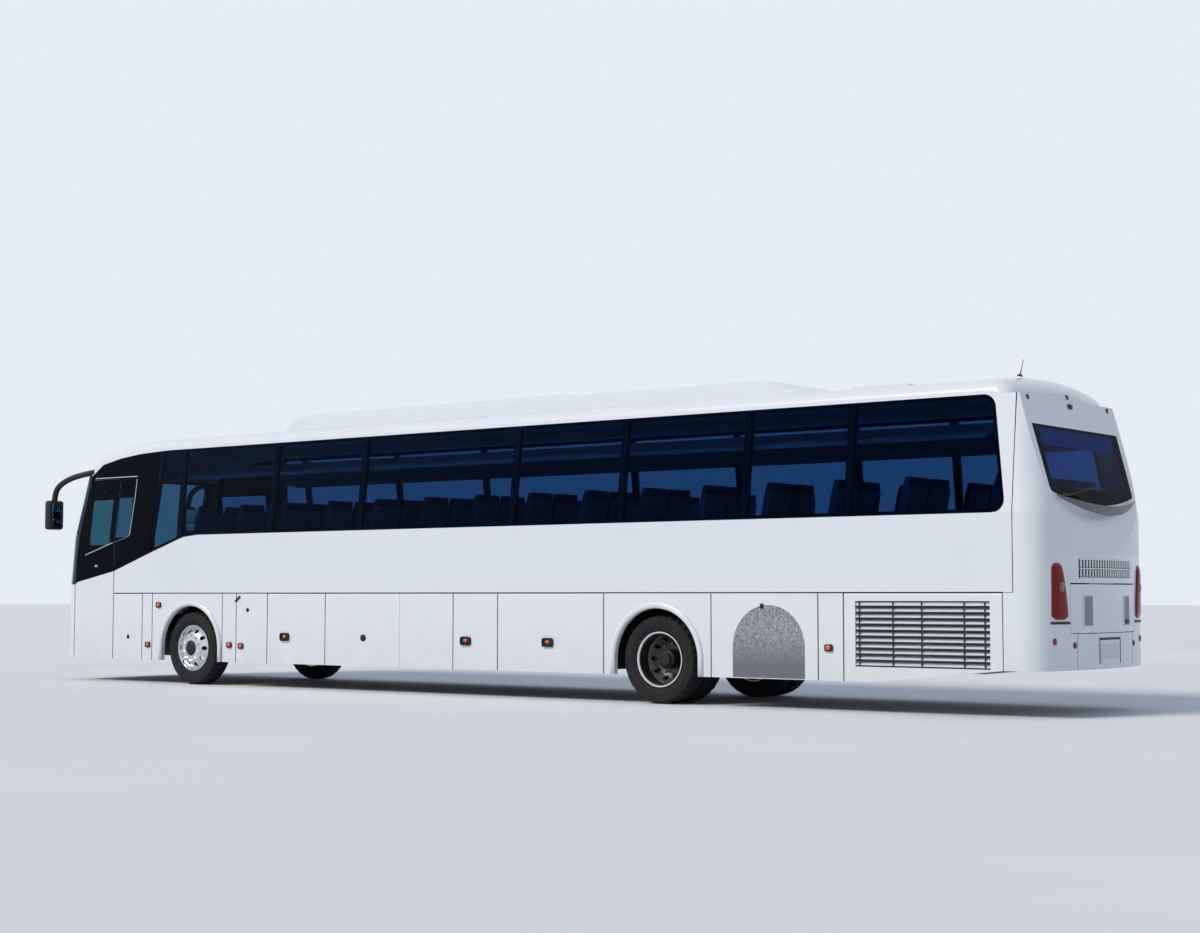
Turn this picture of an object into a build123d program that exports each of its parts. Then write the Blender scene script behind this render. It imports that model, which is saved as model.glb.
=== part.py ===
from build123d import *
from math import atan2, cos, radians, sin, sqrt, tan
import os

# A two-axle coach bus. X points forward, Y to its left, Z up, in millimetres.
# The origin is on the ground, under the middle of the vehicle's length over its mirrors.

# Overall size
BODY_LENGTH = 15000.0
BODY_WIDTH = 2500.0
ROOF_Z = 3350.0
MIRROR_REACH = 260.0
TAIL_X = -(BODY_LENGTH + MIRROR_REACH) / 2
NOSE_X = TAIL_X + BODY_LENGTH
HALF = BODY_WIDTH / 2

# Heights of the lines that run along the side
SKIRT_Z = 310.0
SKIRT_RISE_X = 1950.0
LUGGAGE_Z = 1198.0
SILL_Z = 1970.0
GLASS_SILL_Z = 1964.0
HEAD_Z = 3122.0
SCREEN_Z = 1250.0
SCREEN_LOW_Z = 1320.0
SCREEN_TOP_Z = 2835.0
GROUND_CUT_Z = 150.0
FORM_TOP_Z = 3700.0

# Plan corners and leans of the body
NOSE_CORNER_R = 280.0
NOSE_TURN = 9.5
TAIL_CORNER_R = 260.0
TAIL_TURN = 14.0
SIDE_LEAN = 0.119
SCREEN_FALL = 80.0
SCREEN_LEAN = 0.19
TAIL_LEAN = 0.11

# Roof: crown across it, and its bends down to the windscreen and the rear window
CROWN_R = 6550.0
ROOF_FRONT_FLAT = 1890.0
FRONT_BEND_1 = (5500.0, 12.0)
FRONT_BEND_2 = (650.0, 68.0)
ROOF_REAR_FLAT = 700.0
REAR_BEND = (300.0, 75.0)
COVE_R = 170.0
COVE_PROUD = 3.0
SIDE_OPEN = 0.30
FRONT_SECTIONS = (3, 6)
COVE_GROW_TURN = 120.0
ROOF_HALF_SPAN = 1400.0
MARGIN = 100.0
ROOF_DEPTH = 3200.0
MARGIN_LONG = 3000.0

# Wall, glass and seams
WALL_T = 50.0
GLASS_T = 8.0
SEAT_GAP = 0.3
SEAM = 5.0
DOOR_GAP = 7.0
PANE_GAP = 8.0
PANE_LAND = 40.0
PILLAR_W = 90.0
PILLAR_REACH = 400.0
BAND_CORNER_R = 140.0
BAND_REAR_TOP = 660.0
BAND_REAR_LOW = 500.0
SCREEN_SIDE = 190.0
SCREEN_HOLE_R = 120.0
DOOR_TOP_Z = 2765.0
DOOR_SHUT = 9.0
DOOR_CLEAR = 14.0
DOOR_HINGES = (450.0, 1150.0)
EDGE_STEP = 45.0

# Rear face
BUMPER_Z = 452.0
REAR_SEAM_Z = 1570.0
REAR_GLASS = (1010.0, 3040.0, 985.0, 2170.0, 2060.0)
LID_HALF = 765.0
DECK_LID_CUT = 150.0
LID_LOW = 800.0
LID_HIGH = 1290.0
LID_TOP_GAP = 13.0
LID_HINGE_Y = 250.0
LID_AXIS_IN = 25.2
LID_BEAM_HALF = 300.0
LID_BEAM = (40.0, 80.0, 115.0)
TAIL_LAMP = (780.0, 1080.0, 930.0, 1480.0)
HEADLAMP = (720.0, 1160.0, 770.0, 960.0)

# Axles and wheels
FRONT_OVERHANG = 2783.0
REAR_OVERHANG = 4627.0
FRONT_AXLE_X = NOSE_X - FRONT_OVERHANG
REAR_AXLE_X = TAIL_X + REAR_OVERHANG
TYRE_R = 479.0
TYRE_W = 272.0
TWIN_PITCH = 312.0
WHEEL_RECESS = 42.0
ARCH_R = 556.0
FLARE_R = 616.0
FLARE_OUT = 14.0
FRONT_WHEEL_Y = HALF - WHEEL_RECESS - TYRE_W / 2
KINGPIN_Y = 975.0
KINGPIN_R = 20.0
KINGPIN_EYE = (42.0, 150.0)
HUB_R = 105.0
SPINDLE_R = 45.0
AXLE_TUBE_R = 60.0
BEAD_R = 286.0
RIM_HALF = 116.0
DISC_OUT = 156.0
HAND_HOLES = 10
HAND_HOLE_R = 27.0
HAND_HOLE_PCR = 222.0
HAND_HOLE_SIDES = 8
HUB_LIP = 5.0
WHEEL_SIDES = 36
TREAD_FALL = 18.0
TREAD_EDGE = 36.0
SHOULDER_EDGE = 9.0
BELLY_R = 392.0
BELLY_FLAT = 14.0
BEAD_TOE = 102.0
BEAD_H = 16.0
FLANGE = 12.0
RIM_WALL = 14.0
DISC_ROOT = 70.0
DISC_ROOT_R = 266.0
DISC_FACE_R = 186.0
DISC_T = 14.0
DISC_BACK = (48.0, 176.0)
HUB_CHAMFER = 30.0
HUB_CAP_T = 20.0

# Stations along the side, measured from the nose
DOOR_FRONT = 352.0
DOOR_REAR = 1202.0
LOCKER_REAR = 1812.0
SLIP_REAR = 2019.0
ARCH_REAR = 3413.0
POST_REAR = 3680.0
SMALL_REAR = 4262.0
BAY_1_REAR = 5306.0

# Stations along the side, measured from the tail
BAY_2_REAR = 7568.0
BAY_3_REAR = 6881.0
BAY_4_REAR = 5342.0
WHEEL_REAR = 3907.0
PATCH_REAR = 2590.0
NARROW_REAR = 2291.0
GRILLE_REAR = 539.0
CAP_FRONT = 430.0

# Floor and chassis
FLOOR_TOP = 1258.0
FLOOR_T = 58.0
BAY_FLOOR_Z = 352.0
BAY_FLOOR_T = 30.0
BULKHEAD_T = 30.0
WAIST_BEAM = 76.0
RAIL_Y = 430.0
RAIL_W = 80.0
RAIL_LOW = 700.0
RAIL_HIGH = 900.0
POST = 60.0

# Side flaps
FLAP_T = 46.0
FLAP_EDGE = DOOR_GAP - SEAM / 2
HINGE_IN = 18.0
HINGE_PIN_R = 5.0
HINGE_EYE_R = 9.0
HINGE_EYE_T = 14.0
EYE_SIDES = 8
HINGE_END = 150.0
HINGE_ARM = 12.0
NOTCH_ROOM = 3.0
BEAM_SET = 14.0
GRILLE_END = 135.0
GRILLE_LOW = 460.0
GRILLE_HIGH = 1115.0
SLATS = 11
SLAT_T = 5.0
SLAT_DEPTH = 34.0

# Inside
AISLE_HALF = 210.0
SEAT_ROWS = 14
SEAT_PITCH = 815.0
FIRST_SEAT = 2350.0
BENCH_FROM_TAIL = 1050.0
CUSHION_Z = 1690.0
CUSHION_T = 130.0
SEAT_TOP_Z = 2370.0
SEAT_WALL = 60.0
SEAT_BASE = 225.0
LEG_HALF = 120.0
LEG_IN = 60.0
BACK_T = 90.0
BACK_LEAN = 130.0
BACK_GAP = 24.0
DRIVER_SEAT = (1400.0, -950.0, -470.0)
STEERING_WHEEL = (1000.0, -710.0, 1850.0)
STEERING_WHEEL_R = 225.0
STEERING_RIM_R = 15.0
STEERING_TILT = 28.0
STEERING_SIDES = 24
COLUMN_SIDES = 12
COLUMN_R = 28.0
DASH_FRONT = 330.0
DASH_REAR = 640.0
DASH_Z = 1470.0
CONSOLE_Z = 1560.0
CONSOLE_SIDE = -240.0
RACK_LOW_Z = 2700.0
RACK_T = 45.0
RACK_INNER_Y = 740.0
RACK_RISE = 60.0
RACK_LIP = 70.0
RACK_LIP_T = 25.0
RACK_FRONT = 2300.0
RACK_REAR = 750.0
STEPS = 3
STEP_IN = 500.0
STEP_LOW = 380.0
STEP_T = 25.0
WELL_END = 40.0

# Roof units: half widths and heights of the section, and the rise of its top
FAIRING_SECTION = ((960.0, 3200.0), (940.0, 3395.0), (850.0, 3462.0), 18.0)
HUMP_SECTION = ((640.0, 3430.0), (620.0, 3490.0), (560.0, 3520.0), 12.0)
HATCH_SECTION = ((430.0, 3300.0), (425.0, 3365.0), (400.0, 3375.0), 8.0)
FAIRING_FRONT = (4230.0, 4430.0)
FAIRING_REAR = (2900.0, 3540.0)
HUMP_FRONT = (4230.0, 4520.0)
HUMP_REAR = (6240.0, 6490.0)
HATCH_FRONT = 2680.0
HATCH_REAR = 1980.0

# Mirrors: points of the arm, and the hanging head
ARM_R = 20.0
ARM_SIDES = 8
ARM_POINTS = [
    # from the nose, Y, Z
    (590.0, 1120.0, 2885.0),
    (310.0, 1172.0, 2845.0),
    (70.0, 1190.0, 2790.0),
    (-100.0, 1205.0, 2710.0),
    (-180.0, 1225.0, 2600.0),
    (-190.0, 1225.0, 2470.0),
]
MIRROR_DEPTH = 136.0
MIRROR_WIDTH = 250.0
MIRROR_LOW = 2095.0
MIRROR_HIGH = 2505.0
MIRROR_Y = 1210.0
MIRROR_CORNER_R = 45.0

# Frames, engine and tank
FRAME_END = 520.0
FRAME_TAIL = 360.0
ENGINE_REAR = 520.0
ENGINE_FRONT = 1750.0
ENGINE_HALF = 380.0
ENGINE_LOW = 480.0
ENGINE_HIGH = 1150.0
TANK_HALF = 700.0
TANK_FRONT = 1290.0
TANK_LENGTH = 640.0
FRONT_CROSS = (-560.0, 560.0)
REAR_CROSS = (-760.0, 560.0)

# Axle details
HUB_IN = 20.0
HUB_OUT = 172.0
REAR_HUB_IN = 60.0
REAR_HUB_OUT = 30.0
BEAM_W = 100.0
BEAM_BOTTOM = 390.0
BEAM_DROP_Y = 620.0
BELLOW_R = 100.0
LUG_T = 26.0
TUBE_THICK_Y = 600.0
BOWL = [(80.0, -150.0), (150.0, -110.0), (205.0, -40.0), (205.0, 40.0), (150.0, 110.0), (80.0, 150.0)]
BOWL_SIDES = 16
SPRING_REACH = 520.0
LINER_T = 5.0
LINER_LOW = 60.0
LINER_FRONT_Y = 640.0
LINER_REAR_Y = 580.0


def from_nose(distance):
    return NOSE_X - distance


def from_tail(distance):
    return TAIL_X + distance


def plan_end(x_end, sign, half, corner_r, turn):
    """Points of one end of the plan outline: side, corner middle, corner end and tip."""
    bow = radians(turn)
    y = half - corner_r + corner_r * sin(bow)
    bow_r = y / sin(bow)
    x = x_end - sign * bow_r * (1 - cos(bow))
    x_side = x - sign * corner_r * cos(bow)
    middle = radians((90 + turn) / 2)
    corner = (x_side + sign * corner_r * cos(middle), half - corner_r + corner_r * sin(middle))
    return (x_side, half), corner, (x, y), (x_end, 0.0)


def body_plan(level, inset):
    """Plan outline of the body at one level, drawn inside by the inset."""
    z, side, nose, tail = level
    half = HALF - side - inset
    front = plan_end(NOSE_X - nose - inset, 1, half, NOSE_CORNER_R - inset, NOSE_TURN)
    rear = plan_end(TAIL_X + tail + inset, -1, half, TAIL_CORNER_R - inset, TAIL_TURN)
    front_right = [(x, -y) for x, y in front]
    rear_right = [(x, -y) for x, y in rear]
    with BuildSketch(Plane.XY.offset(z)) as outline:
        with BuildLine():
            Line(rear[0], front[0])
            ThreePointArc(front[0], front[1], front[2])
            ThreePointArc(front[2], front[3], front_right[2])
            ThreePointArc(front_right[2], front_right[1], front_right[0])
            Line(front_right[0], rear_right[0])
            ThreePointArc(rear_right[0], rear_right[1], rear_right[2])
            ThreePointArc(rear_right[2], rear[3], rear[2])
            ThreePointArc(rear[2], rear[1], rear[0])
        make_face()
    return outline.sketch


def roof_section(origin, pitch, depth, inset, corner_r):
    """Section under the roof, square to its path: a crown, two coves and open sides."""
    cove_r = corner_r - inset
    lean = SIDE_LEAN * cos(radians(pitch))
    wall_y = HALF - inset - SIDE_LEAN * (origin[2] - SILL_Z) + COVE_PROUD
    slope = sqrt(1 + lean ** 2)
    base_y = wall_y - cove_r * slope
    half_b = CROWN_R - base_y * lean
    constant = base_y ** 2 + 2 * CROWN_R * cove_r - cove_r ** 2
    centre_z = (sqrt(half_b ** 2 - slope ** 2 * constant) - half_b) / slope ** 2
    centre_y = base_y - lean * centre_z
    reach = CROWN_R / (CROWN_R - cove_r)
    crown_end = (centre_y * reach, (centre_z + CROWN_R) * reach - CROWN_R)
    side_angle = atan2(lean, 1)
    middle = (atan2(centre_z + CROWN_R, centre_y) + side_angle) / 2
    cove_middle = (centre_y + cove_r * cos(middle), centre_z + cove_r * sin(middle))
    cove_end = (centre_y + cove_r * cos(side_angle), centre_z + cove_r * sin(side_angle))
    foot = (cove_end[0] + SIDE_OPEN * (cove_end[1] + depth), -depth)
    plane = Plane(
        origin=origin,
        x_dir=(0, 1, 0),
        z_dir=(cos(radians(pitch)), 0, -sin(radians(pitch))),
    )
    right = [(-y, z) for y, z in (crown_end, cove_middle, cove_end, foot)]
    with BuildSketch(plane) as section:
        with BuildLine():
            ThreePointArc(right[0], (0, 0), crown_end)
            ThreePointArc(crown_end, cove_middle, cove_end)
            Polyline(cove_end, foot, right[3], right[2])
            ThreePointArc(right[2], right[1], right[0])
        make_face()
    return section.sketch


def body_form(inset):
    """The body's closed outer form, drawn inside by the inset."""
    screen_top = SCREEN_FALL + SCREEN_LEAN * (FORM_TOP_Z - SILL_Z)
    levels = [
        # height, side set in, nose set back, tail set in
        (GROUND_CUT_Z, 0.0, 0.0, 0.0),
        (SCREEN_Z, 0.0, 0.0, 0.0),
        (SILL_Z, 0.0, SCREEN_FALL, 0.0),
        (FORM_TOP_Z, SIDE_LEAN * (FORM_TOP_Z - SILL_Z), screen_top, TAIL_LEAN * (FORM_TOP_Z - SILL_Z)),
    ]
    top = ROOF_Z - inset
    rear_x = TAIL_X + ROOF_REAR_FLAT
    front_x = NOSE_X - ROOF_FRONT_FLAT
    with BuildPart() as under_roof:
        extrude(roof_section((rear_x, 0, top), 0, ROOF_DEPTH, inset, COVE_R), amount=front_x - rear_x)
        bend_x, bend_z, pitch = front_x, top, 0.0
        for (bend_r, bend_angle), count in zip((FRONT_BEND_1, FRONT_BEND_2), FRONT_SECTIONS):
            r = bend_r - inset
            depth = min(ROOF_DEPTH, r - 20.0)
            centre_x = bend_x - r * sin(radians(pitch))
            centre_z = bend_z - r * cos(radians(pitch))
            stops = [pitch + bend_angle * i / (count - 1) for i in range(count)]
            sections = []
            for stop in stops:
                point = (centre_x + r * sin(radians(stop)), 0, centre_z + r * cos(radians(stop)))
                corner_r = COVE_R + (NOSE_CORNER_R - COVE_R) * stop / COVE_GROW_TURN
                sections.append(roof_section(point, stop, depth, inset, corner_r))
            loft(sections=sections, ruled=True)
            pitch = stops[-1]
            bend_x, bend_z = point[0], point[2]
        fall = radians(90 - pitch)
        front_low = (bend_x + (bend_z - GROUND_CUT_Z) * tan(fall), GROUND_CUT_Z)
        back = (bend_x - ROOF_FRONT_FLAT * cos(fall), bend_z - ROOF_FRONT_FLAT * sin(fall))
        with BuildSketch(Plane.XZ.offset(-ROOF_HALF_SPAN)):
            with BuildLine():
                Polyline((bend_x, bend_z), front_low, (back[0], GROUND_CUT_Z), back, close=True)
            make_face()
        extrude(amount=2 * ROOF_HALF_SPAN)
        rear_r = REAR_BEND[0] - inset
        rear_centre = (rear_x, 0, top - rear_r)
        rear_start = roof_section((rear_x, 0, top), 0, rear_r - 20.0, inset, COVE_R)
        revolve(rear_start, axis=Axis(rear_centre, (0, -1, 0)), revolution_arc=REAR_BEND[1])
        with BuildSketch(Plane.XZ.offset(-ROOF_HALF_SPAN)):
            with BuildLine():
                turn = radians(REAR_BEND[1])
                last = (rear_x - rear_r * sin(turn), top - rear_r + rear_r * cos(turn))
                low = (last[0] - (last[1] - GROUND_CUT_Z) / tan(turn), GROUND_CUT_Z)
                Polyline(last, low, (rear_x, GROUND_CUT_Z), (rear_x, top - rear_r), last)
            make_face()
        extrude(amount=2 * ROOF_HALF_SPAN)
    with BuildPart() as form:
        for lower, upper in zip(levels, levels[1:]):
            loft(sections=[body_plan(lower, inset), body_plan(upper, inset)], ruled=True)
        add(under_roof.part, mode=Mode.INTERSECT)
    return form.part


def side_block(outline, near=-HALF - MARGIN, far=HALF + MARGIN):
    """A solid with an outline in X and Z, from Y near to Y far."""
    with BuildPart() as block:
        with BuildSketch(Plane.XZ.offset(-near)):
            with BuildLine():
                Polyline(*outline, close=True)
            make_face()
        extrude(amount=-(far - near))
    return block.part


def box_between(low, high):
    """A box from its lowest corner to its highest."""
    size = [b - a for a, b in zip(low, high)]
    middle = tuple((a + b) / 2 for a, b in zip(low, high))
    with BuildPart() as box:
        with Locations(middle):
            Box(*size)
    return box.part


def cut_out(base, *cutters):
    with BuildPart() as piece:
        add(base)
        add(list(cutters), mode=Mode.SUBTRACT)
    return piece.part


def common(base, region):
    with BuildPart() as piece:
        add(base)
        add(region, mode=Mode.INTERSECT)
    return piece.part


def both_sides(part):
    with BuildPart() as pair:
        add(part)
        add(mirror(part, about=Plane.XZ))
    return pair.part


def save(part, label):
    part.label = label
    export_step(part, f"parts/{label}.step")


os.makedirs("parts", exist_ok=True)

DOOR_FRONT_X = from_nose(DOOR_FRONT)
DOOR_REAR_X = from_nose(DOOR_REAR)
CAP_X = from_tail(CAP_FRONT)
OUTER_Y = HALF + MARGIN

# The front and rear ends of the body form, hollowed
outer = body_form(0.0)
glass_core = body_form(GLASS_T)
rebate_core = body_form(GLASS_T + SEAT_GAP)
wall_core = body_form(WALL_T)

front_zone = box_between((DOOR_REAR_X, -OUTER_Y, GROUND_CUT_Z - 1), (NOSE_X + MARGIN, OUTER_Y, ROOF_Z + MARGIN))
rear_zone = box_between(
    (TAIL_X - MARGIN, -OUTER_Y, BUMPER_Z), (from_tail(GRILLE_REAR), OUTER_Y, ROOF_Z + MARGIN))
front_outer = common(outer, front_zone)
rear_outer = common(outer, rear_zone)
front_shell = cut_out(front_outer, wall_core)
front_glass = cut_out(front_outer, glass_core)
rear_shell = cut_out(rear_outer, wall_core)
rear_glass = cut_out(rear_outer, glass_core)

# Black glazing band of a side: lower and upper edge as distance from the nose and height
BAND_LOW = [(2900.0, GLASS_SILL_Z), (2620.0, 1940.0), (1932.0, 1733.0), (1194.0, 1498.0), (DOOR_FRONT, 1341.0)]
BAND_HIGH = [(582.0, SCREEN_TOP_Z), (789.0, 2979.0), (1150.0, 3051.0), (1554.0, 3096.0), (2128.0, HEAD_Z)]
band_low = [(from_nose(d), z) for d, z in BAND_LOW]
band_high = [(from_nose(d), z) for d, z in BAND_HIGH]
band_rear = [(from_tail(BAND_REAR_TOP), HEAD_Z), (from_tail(BAND_REAR_LOW), GLASS_SILL_Z)]
screen_foot = (DOOR_FRONT_X, band_low[-1][1])
screen_lean = (DOOR_FRONT_X - band_high[0][0]) / (SCREEN_TOP_Z - screen_foot[1])


def nose_line(shift, drop):
    """Line between the nose and a side, from the waist up: a step back, then the screen's lean."""
    step_x = DOOR_FRONT_X - EDGE_STEP + shift
    step_z = screen_foot[1] + EDGE_STEP / screen_lean
    return [(DOOR_FRONT_X + shift, screen_foot[1] - drop), (step_x, screen_foot[1] - drop),
            (step_x, step_z), (band_high[0][0] + shift, SCREEN_TOP_Z)]




def band_block(inset, near, far):
    """The glazing band as a block, drawn in by the inset."""
    with BuildPart() as block:
        with BuildSketch(Plane.XZ.offset(-near)) as band:
            with BuildLine():
                Polyline(*band_low, *band_high, *band_rear, close=True)
            make_face()
            fillet(band.vertices().sort_by(Axis.X)[0:2], BAND_CORNER_R)
            if inset > 0:
                offset(amount=-inset, kind=Kind.INTERSECTION, mode=Mode.REPLACE)
        extrude(amount=-(far - near))
    return block.part


def strip(bottom_x, top_x, width, near, far):
    """A leaning strip across the band, for a pillar or a gap between panes."""
    half_w = width / 2
    low, high = GLASS_SILL_Z - PILLAR_REACH, HEAD_Z + PILLAR_REACH
    lean = (top_x - bottom_x) / (HEAD_Z - GLASS_SILL_Z)
    low_x, high_x = bottom_x - lean * PILLAR_REACH, top_x + lean * PILLAR_REACH
    outline = [(low_x - half_w, low), (low_x + half_w, low), (high_x + half_w, high), (high_x - half_w, high)]
    return side_block(outline, near, far)


# Pillars between the panes: X at the sill, X at the head
PILLARS = [
    (from_nose(1950.0), from_nose(2032.0)),
    (from_nose(2527.0), from_nose(2477.0)),
    (from_nose(4280.0), from_nose(4280.0)),
    (from_nose(5860.0), from_nose(5860.0)),
    (from_tail(6690.0), from_tail(6690.0)),
    (from_tail(5130.0), from_tail(5130.0)),
    (from_tail(3498.0), from_tail(3498.0)),
    (from_tail(2245.0), from_tail(2245.0)),
]


def wall_plate(skin_out, skin_in, low_z):
    """A straight stretch of side wall between two depths under the outer skin."""
    length = DOOR_REAR_X - CAP_X - SEAM
    lean_in = SIDE_LEAN * (HEAD_Z - SEAT_GAP - SILL_Z)
    head = HEAD_Z - SEAT_GAP
    with BuildPart() as plate:
        with BuildSketch(Plane.YZ.offset(CAP_X + SEAM / 2)):
            with BuildLine():
                Polyline(
                    (HALF - skin_out, low_z), (HALF - skin_out, SILL_Z), (HALF - skin_out - lean_in, head),
                    (HALF - skin_in - lean_in, head), (HALF - skin_in, SILL_Z), (HALF - skin_in, low_z),
                    close=True,
                )
            make_face()
        extrude(amount=length)
    return plate.part


roof_line = [(NOSE_X + MARGIN, SCREEN_TOP_Z), *band_high, (TAIL_X - MARGIN, HEAD_Z)]
over_roof_line = side_block([*roof_line, (TAIL_X - MARGIN, ROOF_Z + MARGIN), (NOSE_X + MARGIN, ROOF_Z + MARGIN)])
SIDE_NEAR = HALF / 2
band_whole = band_block(0.0, SIDE_NEAR, OUTER_Y)
band_holes = cut_out(band_block(PANE_LAND, SIDE_NEAR, OUTER_Y),
                     *[strip(low, high, PILLAR_W, SIDE_NEAR, OUTER_Y) for low, high in PILLARS])
pane_gaps = [strip(low, high, PANE_GAP, SIDE_NEAR, OUTER_Y) for low, high in PILLARS]

# Side walls between the rear cap and the line of the door's rear edge
straight_wall = wall_plate(0.0, WALL_T, LUGGAGE_Z + SEAM / 2)
straight_rebate = common(wall_plate(-MARGIN, GLASS_T + SEAT_GAP, LUGGAGE_Z), band_whole)
wall = cut_out(straight_wall, straight_rebate, band_holes, over_roof_line)
panes = cut_out(common(wall_plate(0.0, GLASS_T, LUGGAGE_Z), band_whole), *pane_gaps, over_roof_line)

# Ahead of that line: the door's place on the left, a fixed panel on the right
low_wall_z = LUGGAGE_Z + SEAM / 2
front_edge = [(DOOR_FRONT_X - SEAM / 2, GROUND_CUT_Z), *nose_line(-SEAM / 2, SEAM)]
side_outline = [(DOOR_REAR_X, GROUND_CUT_Z), *front_edge, *band_high[1:3], (DOOR_REAR_X, HEAD_Z)]
side_limits = side_block(side_outline, SIDE_NEAR, OUTER_Y)
below_roof = cut_out(side_limits, over_roof_line)
side_shell = common(front_shell, below_roof)
side_glass_layer = common(common(front_glass, below_roof), band_whole)
front_rebate = cut_out(common(band_whole, front_zone), rebate_core)
above_luggage = box_between((DOOR_REAR_X - 1, 0, low_wall_z), (NOSE_X, OUTER_Y, ROOF_Z))
hole_edge = nose_line(-DOOR_GAP - PANE_LAND, 0.0)
hole_limit = side_block([(DOOR_REAR_X - MARGIN, GROUND_CUT_Z), (hole_edge[0][0], GROUND_CUT_Z), *hole_edge,
                         (hole_edge[-1][0], HEAD_Z), (DOOR_REAR_X - MARGIN, HEAD_Z)], SIDE_NEAR, OUTER_Y)
front_holes = common(band_holes, hole_limit)
driver_panel = common(cut_out(side_shell, front_rebate, front_holes), above_luggage)
over_door = box_between((DOOR_REAR_X - 1, 0, DOOR_TOP_Z + DOOR_GAP), (NOSE_X, OUTER_Y, ROOF_Z))
door_header = common(cut_out(side_shell, front_rebate), over_door)

with BuildPart() as side_wall_left:
    add(wall)
    add(door_header)
save(side_wall_left.part, "side_wall_left")

with BuildPart() as side_wall_right:
    add(mirror(wall, about=Plane.XZ))
    add(mirror(driver_panel, about=Plane.XZ))
save(side_wall_right.part, "side_wall_right")

with BuildPart() as side_glass:
    add(panes)
    add(common(side_glass_layer, over_door))
    add(mirror(panes, about=Plane.XZ))
    add(mirror(side_glass_layer, about=Plane.XZ))
save(side_glass.part, "side_glass")

# Entry door: leaf with its hinge pins, and its glass
door_box = side_block(
    [(DOOR_REAR_X + DOOR_SHUT, SKIRT_Z), (DOOR_FRONT_X - DOOR_GAP, SKIRT_Z), *nose_line(-DOOR_GAP, DOOR_GAP),
     (DOOR_REAR_X + DOOR_SHUT, SCREEN_TOP_Z)], SIDE_NEAR, OUTER_Y)
door_zone = common(door_box, box_between((DOOR_REAR_X, 0, SKIRT_Z), (NOSE_X, OUTER_Y, DOOR_TOP_Z)))
door_blank = cut_out(common(front_shell, door_zone), front_rebate, front_holes)
door_glass = common(side_glass_layer, door_zone)
save(door_glass, "door_glass")

# Roof skin over the whole body ahead of the rear cap
ahead_of_cap = box_between((CAP_X + SEAM / 2, -OUTER_Y, GROUND_CUT_Z), (NOSE_X + MARGIN, OUTER_Y, ROOF_Z + MARGIN))
roof_region = common(over_roof_line, ahead_of_cap)
roof_outer = common(outer, roof_region)
roof_skin = cut_out(roof_outer, wall_core)
save(roof_skin, "roof_skin")

# Front mask with the windscreen's frame, and the windscreen
nose_edge = nose_line(SEAM / 2, 0.0)
mask_edge = [(DOOR_FRONT_X + SEAM / 2, SKIRT_Z), *nose_edge[:-1],
             (nose_edge[-1][0], SCREEN_TOP_Z - SEAT_GAP), (NOSE_X + MARGIN, SCREEN_TOP_Z - SEAT_GAP),
             (NOSE_X + MARGIN, SKIRT_Z)]
mask_region = side_block(mask_edge)
screen_region = box_between((DOOR_REAR_X, -OUTER_Y, SCREEN_LOW_Z), (NOSE_X + MARGIN, OUTER_Y, SCREEN_TOP_Z))
with BuildPart() as screen_hole:
    with BuildSketch(Plane.YZ.offset(DOOR_REAR_X)):
        with Locations((0, (SCREEN_LOW_Z + SCREEN_TOP_Z) / 2)):
            RectangleRounded(2 * (HALF - SCREEN_SIDE), SCREEN_TOP_Z - SCREEN_LOW_Z - 2 * PANE_LAND, SCREEN_HOLE_R)
    extrude(amount=NOSE_X + MARGIN - DOOR_REAR_X)
mask_shell = common(front_shell, mask_region)
lamp_near, lamp_far, lamp_low, lamp_high = HEADLAMP
headlamp_blocks = both_sides(box_between(
    (DOOR_FRONT_X + SEAM, lamp_near, lamp_low), (NOSE_X + MARGIN, lamp_far, lamp_high)))
front_mask = cut_out(mask_shell, cut_out(screen_region, rebate_core), screen_hole.part,
                     cut_out(headlamp_blocks, rebate_core))
save(front_mask, "front_mask")
save(common(front_glass, headlamp_blocks), "headlamps")
save(common(common(front_glass, mask_region), screen_region), "windscreen")

# Rear cap above the waist seam, with the rear window, and the rear panel under it
top_half, top_z, low_half, low_z, dip_z = REAR_GLASS


def rear_window_block(inset):
    with BuildPart() as block:
        with BuildSketch(Plane.YZ.offset(TAIL_X - MARGIN)) as pane:
            with BuildLine():
                Polyline((low_half, low_z), (top_half, top_z), (-top_half, top_z), (-low_half, low_z))
                ThreePointArc((-low_half, low_z), (0, dip_z), (low_half, low_z))
            make_face()
            fillet(pane.vertices(), BAND_CORNER_R / 2)
            if inset > 0:
                offset(amount=-inset, kind=Kind.INTERSECTION, mode=Mode.REPLACE)
        extrude(amount=CAP_X - TAIL_X)
    return block.part


window_block = rear_window_block(0.0)
upper_rear = box_between(
    (TAIL_X - MARGIN, -OUTER_Y, REAR_SEAM_Z + SEAT_GAP), (CAP_X - SEAM / 2, OUTER_Y, ROOF_Z + MARGIN))
lower_rear = side_block([
    (TAIL_X - MARGIN, BUMPER_Z), (from_tail(GRILLE_REAR) - SEAM / 2, BUMPER_Z),
    (from_tail(GRILLE_REAR) - SEAM / 2, LUGGAGE_Z - SEAM / 2), (CAP_X - SEAM / 2, LUGGAGE_Z - SEAM / 2),
    (CAP_X - SEAM / 2, REAR_SEAM_Z), (TAIL_X - MARGIN, REAR_SEAM_Z),
])
rear_cap = common(rear_shell, upper_rear)
rear_cap = cut_out(rear_cap, cut_out(window_block, rebate_core), rear_window_block(PANE_LAND))
save(rear_cap, "rear_cap")
save(common(rear_glass, window_block), "rear_window")
lamp_near, lamp_far, lamp_low, lamp_high = TAIL_LAMP
tail_lamp_blocks = both_sides(box_between((TAIL_X - MARGIN, lamp_near, lamp_low), (CAP_X, lamp_far, lamp_high)))
save(common(rear_glass, tail_lamp_blocks), "tail_lamps")
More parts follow.
